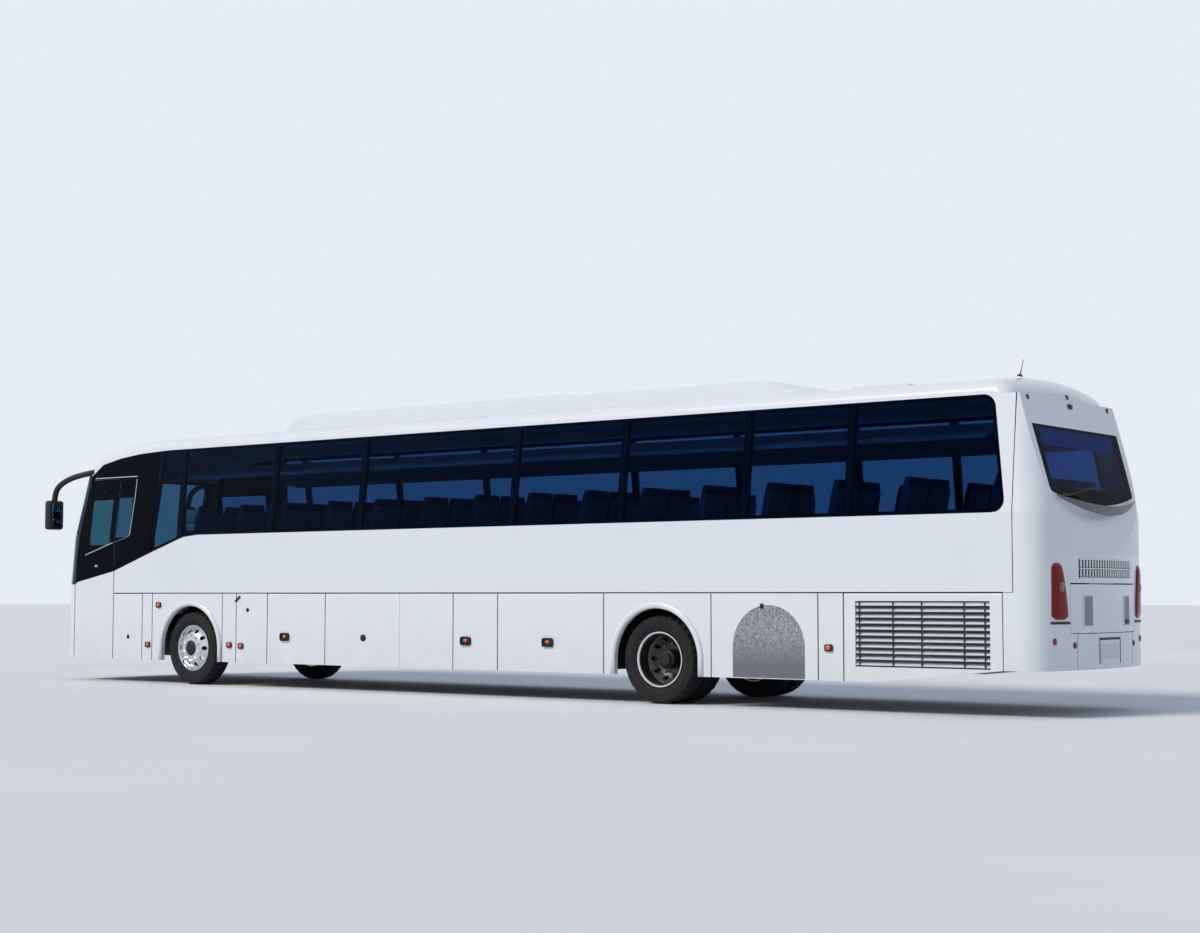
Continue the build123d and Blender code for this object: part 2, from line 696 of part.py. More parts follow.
lid_opening = box_between((TAIL_X - MARGIN, -LID_HALF, LID_LOW), (CAP_X, LID_HALF, LID_HIGH))
rear_blank = cut_out(common(rear_shell, lower_rear), lid_opening, cut_out(tail_lamp_blocks, rebate_core))
lid_top = LID_HIGH - LID_TOP_GAP
lid_zone = box_between((TAIL_X - MARGIN, -LID_HALF + DOOR_GAP, LID_LOW + DOOR_GAP),
                       (CAP_X, LID_HALF - DOOR_GAP, lid_top))
lid_blank = common(rear_shell, lid_zone)


def hinge_plate(axis_point, along, inward):
    """A fixed hinge eye and its arm, which runs inward from the hinge axis."""
    reach = BEAM_SET + WALL_T
    plane = Plane(origin=axis_point, x_dir=inward, z_dir=along)
    with BuildPart() as plate:
        with BuildSketch(plane.offset(-HINGE_EYE_T / 2)):
            with Locations((reach / 2, 0)):
                Rectangle(reach, HINGE_ARM)
            RegularPolygon(HINGE_EYE_R, EYE_SIDES)
            RegularPolygon(HINGE_PIN_R + SEAT_GAP, EYE_SIDES, major_radius=False, mode=Mode.SUBTRACT)
        extrude(amount=HINGE_EYE_T)
    return plate.part


def hinge_notch(axis_point, along, inward, up_reach):
    """The room that a hinge eye needs inside a flap, open inward and towards the hinged edge."""
    room = HINGE_ARM / 2 + NOTCH_ROOM + NOTCH_ROOM
    width = HINGE_EYE_T + 2 * NOTCH_ROOM
    plane = Plane(origin=axis_point, x_dir=inward, z_dir=along)
    with BuildPart() as notch:
        with BuildSketch(plane.offset(-width / 2)):
            with BuildLine():
                Polyline((-room, -room), (WALL_T, -room), (WALL_T, up_reach), (-room, up_reach), close=True)
            make_face()
        extrude(amount=width)
    return notch.part


def hinge_pin(axis_point, along):
    width = HINGE_EYE_T + 4 * NOTCH_ROOM
    plane = Plane(origin=axis_point, z_dir=along)
    with BuildPart() as pin:
        with BuildSketch(plane.offset(-width / 2)):
            Circle(HINGE_PIN_R)
        extrude(amount=width)
    return pin.part


def edge_round(axis_point, along, inward, radius):
    """What a rounded hinged edge leaves out: beyond the radius, outward and towards the edge."""
    plane = Plane(origin=axis_point, x_dir=inward, z_dir=along)
    with BuildPart() as round_cut:
        with BuildSketch(plane.offset(-MARGIN_LONG)):
            Rectangle(MARGIN, MARGIN, align=(Align.MAX, Align.MIN))
            Circle(radius, mode=Mode.SUBTRACT)
        extrude(amount=2 * MARGIN_LONG)
    return round_cut.part


# Entry door leaf: rounded front edge, notches and hinge pins
door_axis_x = DOOR_FRONT_X - DOOR_GAP - HINGE_IN
door_axis = [(door_axis_x, HALF - HINGE_IN, z) for z in DOOR_HINGES]
UP, INTO_LEFT = (0, 0, 1), (0, -1, 0)
door_cuts = [hinge_notch(point, UP, INTO_LEFT, FLAP_T) for point in door_axis]
door_cuts.append(edge_round(door_axis[0], UP, INTO_LEFT, HINGE_IN))
with BuildPart() as door_leaf:
    add(cut_out(door_blank, *door_cuts))
    for point in door_axis:
        add(hinge_pin(point, UP))
save(door_leaf.part, "door_leaf")

# Engine lid in the tail, and the panel round it with the lid's hinge beam
lid_axis = [(TAIL_X + LID_AXIS_IN, y, lid_top - HINGE_IN) for y in (LID_HINGE_Y, -LID_HINGE_Y)]
TO_RIGHT, INTO_TAIL = (0, -1, 0), (1, 0, 0)
lid_cuts = [hinge_notch(point, TO_RIGHT, INTO_TAIL, FLAP_T) for point in lid_axis]
lid_cuts.append(edge_round((TAIL_X + LID_AXIS_IN, 0, lid_top - HINGE_IN), TO_RIGHT, INTO_TAIL, LID_AXIS_IN))
with BuildPart() as engine_lid:
    add(cut_out(lid_blank, *lid_cuts))
    for point in lid_axis:
        add(hinge_pin(point, TO_RIGHT))
save(engine_lid.part, "engine_lid")
beam_root, beam_near, beam_far = LID_BEAM
with BuildPart() as rear_panel:
    add(rear_blank)
    add(box_between((TAIL_X + beam_root, -LID_BEAM_HALF, LID_HIGH + NOTCH_ROOM),
                    (TAIL_X + beam_far, LID_BEAM_HALF, LID_HIGH + POST)))
    add(box_between((TAIL_X + beam_near, -LID_BEAM_HALF, lid_top - POST),
                    (TAIL_X + beam_far, LID_BEAM_HALF, LID_HIGH + POST)))
    for point in lid_axis:
        add(hinge_plate(point, TO_RIGHT, INTO_TAIL))
save(rear_panel.part, "rear_panel")

# Lines of the side: fixed panels and flaps under the luggage line
AXIS_Y = HALF - HINGE_IN
AXIS_Z = LUGGAGE_Z - FLAP_EDGE - HINGE_IN
BEAM_OUT = HALF - FLAP_T - BEAM_SET
BEAM_LOW = LUGGAGE_Z + SEAM / 2 - SEAT_GAP - WAIST_BEAM

# Flaps: name, X of the front edge, X of the rear edge, sides that have it
FLAPS = [
    ("locker_door", DOOR_REAR_X, from_nose(LOCKER_REAR), ("left",)),
    ("bay_door_1", from_nose(SMALL_REAR), from_nose(BAY_1_REAR), ("left", "right")),
    ("bay_door_2", from_nose(BAY_1_REAR), from_tail(BAY_2_REAR), ("left", "right")),
    ("bay_door_3", from_tail(BAY_2_REAR), from_tail(BAY_3_REAR), ("left",)),
    ("bay_door_4", from_tail(BAY_3_REAR), from_tail(BAY_4_REAR), ("left", "right")),
    ("engine_door", from_tail(NARROW_REAR), from_tail(GRILLE_REAR), ("left", "right")),
]

# Fixed panels: X of the front edge, X of the rear edge, X of a wheel arch's centre, sides
PANELS = [
    (DOOR_FRONT_X, DOOR_REAR_X, None, ("right",)),
    (DOOR_REAR_X, from_nose(LOCKER_REAR), None, ("right",)),
    (from_nose(LOCKER_REAR), from_nose(SLIP_REAR), None, ("left", "right")),
    (from_nose(SLIP_REAR), from_nose(ARCH_REAR), FRONT_AXLE_X, ("left", "right")),
    (from_nose(ARCH_REAR), from_nose(POST_REAR), None, ("left", "right")),
    (from_nose(POST_REAR), from_nose(SMALL_REAR), None, ("left", "right")),
    (from_tail(BAY_2_REAR), from_tail(BAY_3_REAR), None, ("right",)),
    (from_tail(BAY_4_REAR), from_tail(WHEEL_REAR), REAR_AXLE_X, ("left", "right")),
    (from_tail(WHEEL_REAR), from_tail(PATCH_REAR), None, ("left", "right")),
    (from_tail(PATCH_REAR), from_tail(NARROW_REAR), None, ("left", "right")),
]


def hinge_stations(front_x, rear_x):
    return (front_x - HINGE_END, rear_x + HINGE_END)


def flap(front_x, rear_x, grille):
    """A top-hinged flap on the left side, with its pins in notches along the hinged edge."""
    low, high = SKIRT_Z, LUGGAGE_Z - FLAP_EDGE
    rear, front = rear_x + FLAP_EDGE, front_x - FLAP_EDGE
    with BuildPart() as leaf:
        with BuildSketch(Plane.YZ.offset(rear)):
            with BuildLine():
                Polyline((HALF - HINGE_IN, high), (HALF - FLAP_T, high), (HALF - FLAP_T, low), (HALF, low),
                         (HALF, high - HINGE_IN))
                RadiusArc((HALF, high - HINGE_IN), (HALF - HINGE_IN, high), -HINGE_IN)
            make_face()
        extrude(amount=front - rear)
        for x in hinge_stations(front_x, rear_x):
            point = (x, AXIS_Y, AXIS_Z)
            add(hinge_notch(point, (-1, 0, 0), (0, -1, 0), FLAP_T), mode=Mode.SUBTRACT)
            add(hinge_pin(point, (1, 0, 0)))
        if grille:
            opening = box_between((rear_x + GRILLE_END, HALF - FLAP_T - 1, GRILLE_LOW),
                                  (front_x - GRILLE_END, HALF + 1, GRILLE_HIGH))
            add(opening, mode=Mode.SUBTRACT)
            pitch = (GRILLE_HIGH - GRILLE_LOW) / SLATS
            for i in range(SLATS):
                z = GRILLE_LOW + pitch * (i + 0.5)
                run = SLAT_DEPTH / 2
                rise = pitch / 4
                outline = [(-run, rise), (run, -rise), (run, SLAT_T - rise), (-run, SLAT_T + rise)]
                with BuildSketch(Plane.YZ.offset(rear_x + GRILLE_END)):
                    with BuildLine():
                        Polyline(*[(HALF - FLAP_T / 2 + y, z + dz) for y, dz in outline], close=True)
                    make_face()
                extrude(amount=front_x - rear_x - 2 * GRILLE_END)
            skirt_cut = [(from_tail(SKIRT_RISE_X), SKIRT_Z), (rear - 1, SKIRT_Z - 1), (rear - 1, BUMPER_Z)]
            add(side_block(skirt_cut, HALF - FLAP_T - 1, HALF + 1), mode=Mode.SUBTRACT)
    return leaf.part


def panel(front_x, rear_x, arch_x):
    """A fixed panel on the left side, with a wheel arch and its flare where it has one."""
    low, high = SKIRT_Z, LUGGAGE_Z - SEAM / 2
    rear, front = rear_x + SEAM / 2, front_x - SEAM / 2
    with BuildPart() as leaf:
        add(box_between((rear, HALF - FLAP_T, low), (front, HALF, high)))
        if arch_x is not None:
            with BuildSketch(Plane.XZ.offset(-HALF)):
                with Locations((arch_x, TYRE_R)):
                    Circle(FLARE_R)
                    Rectangle(2 * FLARE_R, FLARE_R, align=(Align.CENTER, Align.MAX))
                with Locations((arch_x, low)):
                    Rectangle(3 * FLARE_R, FLARE_R, align=(Align.CENTER, Align.MAX), mode=Mode.SUBTRACT)
            extrude(amount=-FLARE_OUT)
            with BuildSketch(Plane.XZ.offset(-HALF + FLAP_T + 1)):
                with Locations((arch_x, TYRE_R)):
                    Circle(ARCH_R)
                    Rectangle(2 * ARCH_R, ARCH_R, align=(Align.CENTER, Align.MAX))
            extrude(amount=-(FLAP_T + FLARE_OUT + 2), mode=Mode.SUBTRACT)
    return leaf.part


def placed(part, side):
    return part if side == "left" else mirror(part, about=Plane.XZ)


with BuildPart() as skirt_panels:
    for front_x, rear_x, arch_x, sides in PANELS:
        blank = panel(front_x, rear_x, arch_x)
        for side in sides:
            add(placed(blank, side))
save(skirt_panels.part, "skirt_panels")

for name, front_x, rear_x, sides in FLAPS:
    leaf = flap(front_x, rear_x, name == "engine_door")
    for side in sides:
        save(placed(leaf, side), f"{name}_{side}")

# Bay frame: waist beams with hinge eyes and pads, bulkheads and the bay floor
BULKHEADS = [from_nose(ARCH_REAR), from_nose(SMALL_REAR), from_nose(BAY_1_REAR),
             from_tail(BAY_2_REAR), from_tail(BAY_3_REAR), from_tail(BAY_4_REAR)]
deck_low = FLOOR_TOP - FLOOR_T
bay_half = HALF - FLAP_T - DOOR_GAP
frame_pieces = []
for side, end in (("left", DOOR_REAR + POST), ("right", DOOR_FRONT + POST)):
    beam = box_between((from_tail(GRILLE_REAR), BEAM_OUT - WAIST_BEAM, BEAM_LOW),
                       (from_nose(end), BEAM_OUT, deck_low - SEAT_GAP))
    frame_pieces.append(placed(beam, side))
for x in BULKHEADS:
    frame_pieces.append(box_between((x - BULKHEAD_T / 2, -bay_half, BAY_FLOOR_Z),
                                    (x + BULKHEAD_T / 2, bay_half, deck_low - SEAT_GAP)))
for name, front_x, rear_x, sides in FLAPS:
    plates = [hinge_plate((x, AXIS_Y, AXIS_Z), (-1, 0, 0), (0, -1, 0)) for x in hinge_stations(front_x, rear_x)]
    frame_pieces.extend(placed(plate, side) for plate in plates for side in sides)
for front_x, rear_x, arch_x, sides in PANELS:
    middle_x = (front_x + rear_x) / 2 if arch_x is None else arch_x
    pad = box_between((middle_x - POST / 2, BEAM_OUT - 1, BEAM_LOW),
                      (middle_x + POST / 2, HALF - FLAP_T - SEAT_GAP, deck_low - SEAT_GAP))
    frame_pieces.extend(placed(pad, side) for side in sides)
with BuildPart() as bay_frame:
    add(box_between((BULKHEADS[-1], -bay_half, BAY_FLOOR_Z), (BULKHEADS[0], bay_half, BAY_FLOOR_Z + BAY_FLOOR_T)))
    add(frame_pieces)
save(bay_frame.part, "bay_frame")

# Floor deck over the whole inside, with the step well behind the entry door
floor_form = body_form(WALL_T + SEAT_GAP)
door_form = body_form(WALL_T + DOOR_CLEAR)
well_rear, well_front = DOOR_REAR_X + WELL_END, DOOR_FRONT_X - WELL_END
step_well = box_between((well_rear, STEP_IN, 0), (well_front, OUTER_Y, ROOF_Z))
door_side = box_between((DOOR_REAR_X - DOOR_CLEAR, STEP_IN, 0), (DOOR_FRONT_X + DOOR_CLEAR, OUTER_Y, ROOF_Z))
deck_slab = box_between((TAIL_X, -HALF, deck_low), (NOSE_X, HALF, FLOOR_TOP))
lid_room = box_between((TAIL_X, -LID_HALF - DOOR_GAP, 0), (TAIL_X + DECK_LID_CUT, LID_HALF + DOOR_GAP, ROOF_Z))
step_edge = HALF - WALL_T - DOOR_CLEAR
with BuildPart() as steps:
    rise = (FLOOR_TOP - STEP_LOW) / (STEPS + 1)
    tread = (step_edge - STEP_IN) / STEPS
    for i in range(STEPS):
        z = STEP_LOW + rise * i
        y = step_edge - tread * i
        add(box_between((well_rear, y - tread, z), (well_front, y, z + STEP_T)))
        add(box_between((well_rear, y - tread - STEP_T, z), (well_front, y - tread, z + rise + STEP_T)))
    for x in (well_rear - STEP_T, well_front):
        add(box_between((x, STEP_IN - STEP_T, STEP_LOW), (x + STEP_T, step_edge, FLOOR_TOP)))
with BuildPart() as floor_deck:
    add(cut_out(common(floor_form, deck_slab), door_side, lid_room))
    add(cut_out(common(common(door_form, deck_slab), door_side), step_well))
    add(steps.part)
    for point in door_axis:
        add(hinge_plate(point, UP, INTO_LEFT))
save(floor_deck.part, "floor_deck")


def rails(rear_x, front_x, crosses):
    """A pair of rails with cross members and posts up to the deck."""
    with BuildPart() as frame:
        for y in (RAIL_Y, -RAIL_Y):
            add(box_between((rear_x, y - RAIL_W / 2, RAIL_LOW), (front_x, y + RAIL_W / 2, RAIL_HIGH)))
        for x in crosses:
            add(box_between((x - RAIL_W / 2, -RAIL_Y, RAIL_LOW + RAIL_W / 2), (x + RAIL_W / 2, RAIL_Y, RAIL_HIGH)))
            for y in (RAIL_Y, -RAIL_Y):
                add(box_between((x - RAIL_W / 2, y - RAIL_W / 2, RAIL_HIGH),
                                (x + RAIL_W / 2, y + RAIL_W / 2, deck_low - SEAT_GAP)))
    return frame.part


front_rails_rear = BULKHEADS[0] + BULKHEAD_T / 2 + SEAT_GAP
rear_rails_front = BULKHEADS[-1] - BULKHEAD_T / 2 - SEAT_GAP
front_crosses = [FRONT_AXLE_X + offset_x for offset_x in FRONT_CROSS]
rear_crosses = [REAR_AXLE_X + offset_x for offset_x in REAR_CROSS]
save(rails(front_rails_rear, from_nose(FRAME_END), front_crosses), "front_frame")
save(rails(from_tail(FRAME_TAIL), rear_rails_front, rear_crosses), "rear_frame")

# Engine as one block between the rear rails
engine_half = RAIL_Y - RAIL_W / 2 - SEAT_GAP
engine = box_between((from_tail(ENGINE_REAR), -engine_half, ENGINE_LOW),
                     (from_tail(ENGINE_FRONT), engine_half, ENGINE_HIGH))
save(engine, "engine_block")

# Fuel tank under the front frame, ahead of the front axle
tank = box_between((from_nose(TANK_FRONT + TANK_LENGTH), -TANK_HALF, BAY_FLOOR_Z),
                   (from_nose(TANK_FRONT), TANK_HALF, RAIL_LOW - SEAT_GAP))
save(tank, "fuel_tank")


# Wheels: stations are drawn as radius and distance along the axle, outward positive
def turned(stations, centre, outward, sides=WHEEL_SIDES):
    """A turned form with straight facets, through stations along an axle."""
    sections = []
    for radius, distance in stations:
        at = (centre[0], centre[1] + distance * outward, centre[2])
        with BuildSketch(Plane(origin=at, x_dir=(0, 0, 1), z_dir=(0, outward, 0))) as section:
            RegularPolygon(radius, sides)
        sections.append(section.sketch)
    with BuildPart() as form:
        loft(sections=sections, ruled=True)
    return form.part


def round_bar(radius, near, far, centre, outward):
    """A round bar along an axle, between two distances from a centre."""
    at = (centre[0], centre[1] + near * outward, centre[2])
    with BuildPart() as bar:
        with BuildSketch(Plane(origin=at, z_dir=(0, outward, 0))):
            Circle(radius)
        extrude(amount=far - near)
    return bar.part


def tyre(centre):
    """A tyre as one solid: tread, shoulders, bellied walls and beads."""
    half = TYRE_W / 2
    shoulder_r = TYRE_R - TREAD_FALL
    outside = turned([
        (BELLY_R, -half), (shoulder_r, SHOULDER_EDGE - half), (TYRE_R, TREAD_EDGE - half),
        (TYRE_R, half - TREAD_EDGE), (shoulder_r, half - SHOULDER_EDGE), (BELLY_R, half),
    ], centre, 1)
    seat_r = BEAD_R + BEAD_H
    dish_r = BELLY_R - BELLY_FLAT
    dish = [(seat_r, BEAD_TOE), (dish_r, half), (dish_r, half + MARGIN)]
    bore_r = BEAD_R + SEAT_GAP
    bore = turned([(bore_r, -half), (bore_r, half)], centre, 1)
    return cut_out(outside, turned(dish, centre, 1), turned(dish, centre, -1), bore)


def rim(centre, outward, with_holes):
    """Steel wheel whose disc stands out on one side."""
    flange_r = BEAD_R + FLANGE
    well_r = BEAD_R - RIM_WALL
    back_foot, back_r = DISC_BACK
    outside = turned([
        (flange_r, -RIM_HALF), (BEAD_R, FLANGE - RIM_HALF), (BEAD_R, RIM_HALF - FLANGE), (flange_r, RIM_HALF),
    ], centre, outward)
    disc = turned([(DISC_ROOT_R, back_foot), (DISC_ROOT_R, DISC_ROOT), (DISC_FACE_R, DISC_OUT)], centre, outward)
    back = turned([(well_r, -RIM_HALF - MARGIN), (well_r, back_foot), (back_r, DISC_OUT - DISC_T)], centre, outward)
    with BuildPart() as wheel:
        add(outside)
        add(turned([(well_r, DISC_ROOT), (well_r, RIM_HALF + MARGIN)], centre, outward), mode=Mode.SUBTRACT)
        add(disc)
        add(back, mode=Mode.SUBTRACT)
        if with_holes:
            holes = Plane(origin=centre, x_dir=(1, 0, 0), z_dir=(0, outward, 0))
            with BuildSketch(holes.offset(DISC_BACK[0])):
                with PolarLocations(HAND_HOLE_PCR, HAND_HOLES):
                    RegularPolygon(HAND_HOLE_R, HAND_HOLE_SIDES)
            extrude(amount=DISC_OUT, mode=Mode.SUBTRACT)
    return wheel.part


# Each wheel is drawn once about its own middle, and the right side's are mirror images
MIDDLE = (0.0, 0.0, 0.0)
INNER = (0.0, -TWIN_PITCH, 0.0)
tyre_form = tyre(MIDDLE)
with BuildPart() as twin_tyres:
    add(tyre_form)
    add(tyre_form.moved(Location(INNER)))

# The front wheel's hub is closed by a cap over the spindle's end
rim_form = rim(MIDDLE, 1, True)
with BuildPart() as front_wheel:
    add(rim_form)
    add(turned([(HUB_R, HUB_IN), (HUB_R, DISC_OUT), (HUB_R - HUB_CHAMFER, HUB_OUT)], MIDDLE, 1))
    add(round_bar(SPINDLE_R + SEAT_GAP, HUB_IN - 1, HUB_OUT - HUB_CAP_T, MIDDLE, 1), mode=Mode.SUBTRACT)

# The twin rims stand face to face: the outer one carries the long hub, the inner one fits over it
hub_hole = turned([(HUB_R + SEAT_GAP, 0), (HUB_R + SEAT_GAP, DISC_OUT + 1)], INNER, 1)
inner_rim = cut_out(rim(INNER, 1, False), hub_hole)
with BuildPart() as twin_rims:
    add(mirror(rim_form, about=Plane.XZ))
    add(turned([(HUB_R, -DISC_OUT - REAR_HUB_IN), (HUB_R, REAR_HUB_OUT - HUB_CHAMFER),
                (HUB_R - HUB_CHAMFER, REAR_HUB_OUT)], MIDDLE, 1))
    add(round_bar(AXLE_TUBE_R + SEAT_GAP, -DISC_OUT - REAR_HUB_IN - 1, REAR_HUB_OUT - HUB_CAP_T, MIDDLE, 1),
        mode=Mode.SUBTRACT)
    add(inner_rim.moved(Location((0, -SEAT_GAP, 0))))

# Wheel pieces: name, form, X of the axle
WHEELS = [
    ("tyre_front", tyre_form, FRONT_AXLE_X),
    ("wheel_front", front_wheel.part, FRONT_AXLE_X),
    ("tyres_rear", twin_tyres.part, REAR_AXLE_X),
    ("wheels_rear", twin_rims.part, REAR_AXLE_X),
]
for name, form, axle_x in WHEELS:
    standing = form.moved(Location((axle_x, FRONT_WHEEL_Y, TYRE_R)))
    for side in ("left", "right"):
        save(placed(standing, side), f"{name}_{side}")

# Front axle beam with kingpin eyes and air springs
eye_r, eye_h = KINGPIN_EYE
with BuildPart() as front_axle:
    with BuildSketch(Plane.YZ.offset(FRONT_AXLE_X - BEAM_W / 2)):
        with BuildLine():
            Polyline((-KINGPIN_Y, TYRE_R - 45), (-BEAM_DROP_Y, BEAM_BOTTOM), (BEAM_DROP_Y, BEAM_BOTTOM),
                     (KINGPIN_Y, TYRE_R - 45), (KINGPIN_Y, TYRE_R + 45), (BEAM_DROP_Y, BEAM_BOTTOM + 95),
                     (-BEAM_DROP_Y, BEAM_BOTTOM + 95), (-KINGPIN_Y, TYRE_R + 45), close=True)
        make_face()
    extrude(amount=BEAM_W)
    for sign in (1, -1):
        eye_plane = Plane((FRONT_AXLE_X, sign * KINGPIN_Y, TYRE_R - eye_h / 2))
        with BuildSketch(eye_plane):
            Circle(eye_r)
        extrude(amount=eye_h)
        with BuildSketch(eye_plane.offset(-1)):
            Circle(KINGPIN_R + SEAT_GAP)
        extrude(amount=eye_h + 2, mode=Mode.SUBTRACT)
        with BuildSketch(Plane((FRONT_AXLE_X, sign * RAIL_Y, BEAM_BOTTOM + 94))):
            RegularPolygon(BELLOW_R, BOWL_SIDES)
        extrude(amount=RAIL_LOW - SEAT_GAP - BEAM_BOTTOM - 94)
save(front_axle.part, "front_axle")

# Knuckles: a yoke round the beam's eye, with its kingpin and spindle
for side, sign in (("left", 1), ("right", -1)):
    yoke_near = KINGPIN_Y + eye_r + 5
    with BuildPart() as knuckle:
        for low in (TYRE_R - eye_h / 2 - SEAT_GAP - LUG_T, TYRE_R + eye_h / 2 + SEAT_GAP):
            with BuildSketch(Plane((FRONT_AXLE_X, sign * KINGPIN_Y, low))):
                Circle(eye_r)
                with Locations((0, sign * (eye_r + 5 + LUG_T) / 2)):
                    Rectangle(2 * eye_r, eye_r + 5 + LUG_T)
            extrude(amount=LUG_T)
        with BuildSketch(Plane((FRONT_AXLE_X, sign * KINGPIN_Y, TYRE_R - eye_h / 2 - 1))):
            Circle(KINGPIN_R)
        extrude(amount=eye_h + 2)
        near, far = sorted((sign * yoke_near, sign * (yoke_near + LUG_T)))
        add(box_between((FRONT_AXLE_X - eye_r, near, TYRE_R - eye_h / 2 - LUG_T),
                        (FRONT_AXLE_X + eye_r, far, TYRE_R + eye_h / 2 + LUG_T)))
        with BuildSketch(Plane(origin=(FRONT_AXLE_X, sign * yoke_near, TYRE_R), z_dir=(0, sign, 0))):
            Circle(SPINDLE_R)
        extrude(amount=FRONT_WHEEL_Y + HUB_OUT - 25 - yoke_near)
    save(knuckle.part, f"knuckle_{side}")

# Rear axle: tube, differential bowl, spring beams and air springs
with BuildPart() as rear_axle:
    tube_end = FRONT_WHEEL_Y + REAR_HUB_OUT - 25
    with BuildSketch(Plane(origin=(REAR_AXLE_X, -tube_end, TYRE_R), z_dir=(0, 1, 0))):
        Circle(AXLE_TUBE_R)
    extrude(amount=2 * tube_end)
    with BuildSketch(Plane(origin=(REAR_AXLE_X, -TUBE_THICK_Y, TYRE_R), z_dir=(0, 1, 0))):
        RegularPolygon(AXLE_TUBE_R + 20, BOWL_SIDES)
    extrude(amount=2 * TUBE_THICK_Y)
    add(turned(BOWL, (REAR_AXLE_X, 0, TYRE_R), 1, BOWL_SIDES))
    for sign in (1, -1):
        near, far = sorted((sign * (RAIL_Y - 40), sign * (RAIL_Y + 40)))
        add(box_between((REAR_AXLE_X - SPRING_REACH, near, TYRE_R - 75),
                        (REAR_AXLE_X + SPRING_REACH, far, TYRE_R - 5)))
        for x in (REAR_AXLE_X - SPRING_REACH + BELLOW_R, REAR_AXLE_X + SPRING_REACH - BELLOW_R):
            with BuildSketch(Plane((x, sign * RAIL_Y, TYRE_R - 6))):
                RegularPolygon(BELLOW_R, BOWL_SIDES)
            extrude(amount=RAIL_LOW - SEAT_GAP - TYRE_R + 6)
save(rear_axle.part, "rear_axle")

# Wheel arch liners over the wheels, hung from the deck's underside
with BuildPart() as arch_liners:
    for centre_x, near in ((FRONT_AXLE_X, LINER_FRONT_Y), (REAR_AXLE_X, LINER_REAR_Y)):
        with BuildSketch(Plane.XZ.offset(-near)):
            with Locations((centre_x, TYRE_R)):
                Circle(ARCH_R + LINER_T)
                Circle(ARCH_R, mode=Mode.SUBTRACT)
            with Locations((centre_x, TYRE_R + LINER_LOW)):
                Rectangle(3 * ARCH_R, 3 * ARCH_R, align=(Align.CENTER, Align.MAX), mode=Mode.SUBTRACT)
        extrude(amount=-(BEAM_OUT - WAIST_BEAM - SEAT_GAP - near))
        with BuildSketch(Plane.XZ.offset(-near)):
            with Locations((centre_x, TYRE_R + ARCH_R + LINER_T / 2)):
                Rectangle(POST, LINER_T, align=(Align.CENTER, Align.MIN))
                Rectangle(POST, deck_low - SEAT_GAP - TYRE_R - ARCH_R - LINER_T / 2, align=(Align.CENTER, Align.MIN))
        extrude(amount=-POST)
save(both_sides(arch_liners.part), "arch_liners")

# Seats: a base with its cushion, and a back for each place
def seat_unit(x, near, far, places):
    """A seat base and its backs; X is the middle of the cushion."""
    width = (far - near) / places
    with BuildPart() as unit:
        add(box_between((x - SEAT_BASE, near, CUSHION_Z - CUSHION_T), (x + SEAT_BASE, far, CUSHION_Z)))
        add(box_between((x - LEG_HALF, near + LEG_IN, FLOOR_TOP + SEAT_GAP),
                        (x + LEG_HALF, far - LEG_IN, CUSHION_Z - CUSHION_T)))
        foot_x = x - SEAT_BASE - SEAT_GAP
        outline = [(foot_x, CUSHION_Z - CUSHION_T), (foot_x, CUSHION_Z), (foot_x - BACK_LEAN, SEAT_TOP_Z),
                   (foot_x - BACK_LEAN - BACK_T, SEAT_TOP_Z), (foot_x - BACK_T, CUSHION_Z - CUSHION_T)]
        for k in range(places):
            start = near + k * width + BACK_GAP / 2
            add(side_block(outline, start, start + width - BACK_GAP))
    return unit.part


seat_far = HALF - WALL_T - SEAT_WALL
driver_from_nose, driver_near, driver_far = DRIVER_SEAT
row_places = [from_nose(FIRST_SEAT + SEAT_PITCH * row) for row in range(SEAT_ROWS)]
pair_form = seat_unit(0.0, AISLE_HALF, seat_far, 2)
left_pairs = [pair_form.moved(Location((x, 0, 0))) for x in row_places]
right_pairs = [mirror(pair, about=Plane.XZ) for pair in left_pairs]
with BuildPart() as seats:
    add(seat_unit(from_tail(BENCH_FROM_TAIL), -seat_far, seat_far, 5))
    add([*left_pairs, *right_pairs, seat_unit(from_nose(driver_from_nose), driver_near, driver_far, 1)])
save(seats.part, "seats")

# Dashboard across the nose with the driver's console, and the steering wheel
shelf = side_block([(from_nose(DASH_FRONT), FLOOR_TOP + SEAT_GAP), (NOSE_X, FLOOR_TOP + SEAT_GAP),
                    (NOSE_X, DASH_Z), (from_nose(DASH_FRONT), DASH_Z)])
console = side_block([(from_nose(DASH_REAR), FLOOR_TOP + SEAT_GAP), (from_nose(DASH_FRONT), FLOOR_TOP + SEAT_GAP),
                      (from_nose(DASH_FRONT), DASH_Z), (from_nose(DASH_REAR), CONSOLE_Z)], -HALF, CONSOLE_SIDE)
with BuildPart() as dashboard:
    add(common(floor_form, shelf))
    add(common(floor_form, console))
save(dashboard.part, "dashboard")
wheel_from_nose, wheel_y, wheel_z = STEERING_WHEEL
tilt = radians(STEERING_TILT)
wheel_plane = Plane(origin=(from_nose(wheel_from_nose), wheel_y, wheel_z), x_dir=(0, 1, 0),
                    z_dir=(-sin(tilt), 0, cos(tilt)))
column_length = (wheel_z - FLOOR_TOP) / cos(tilt)
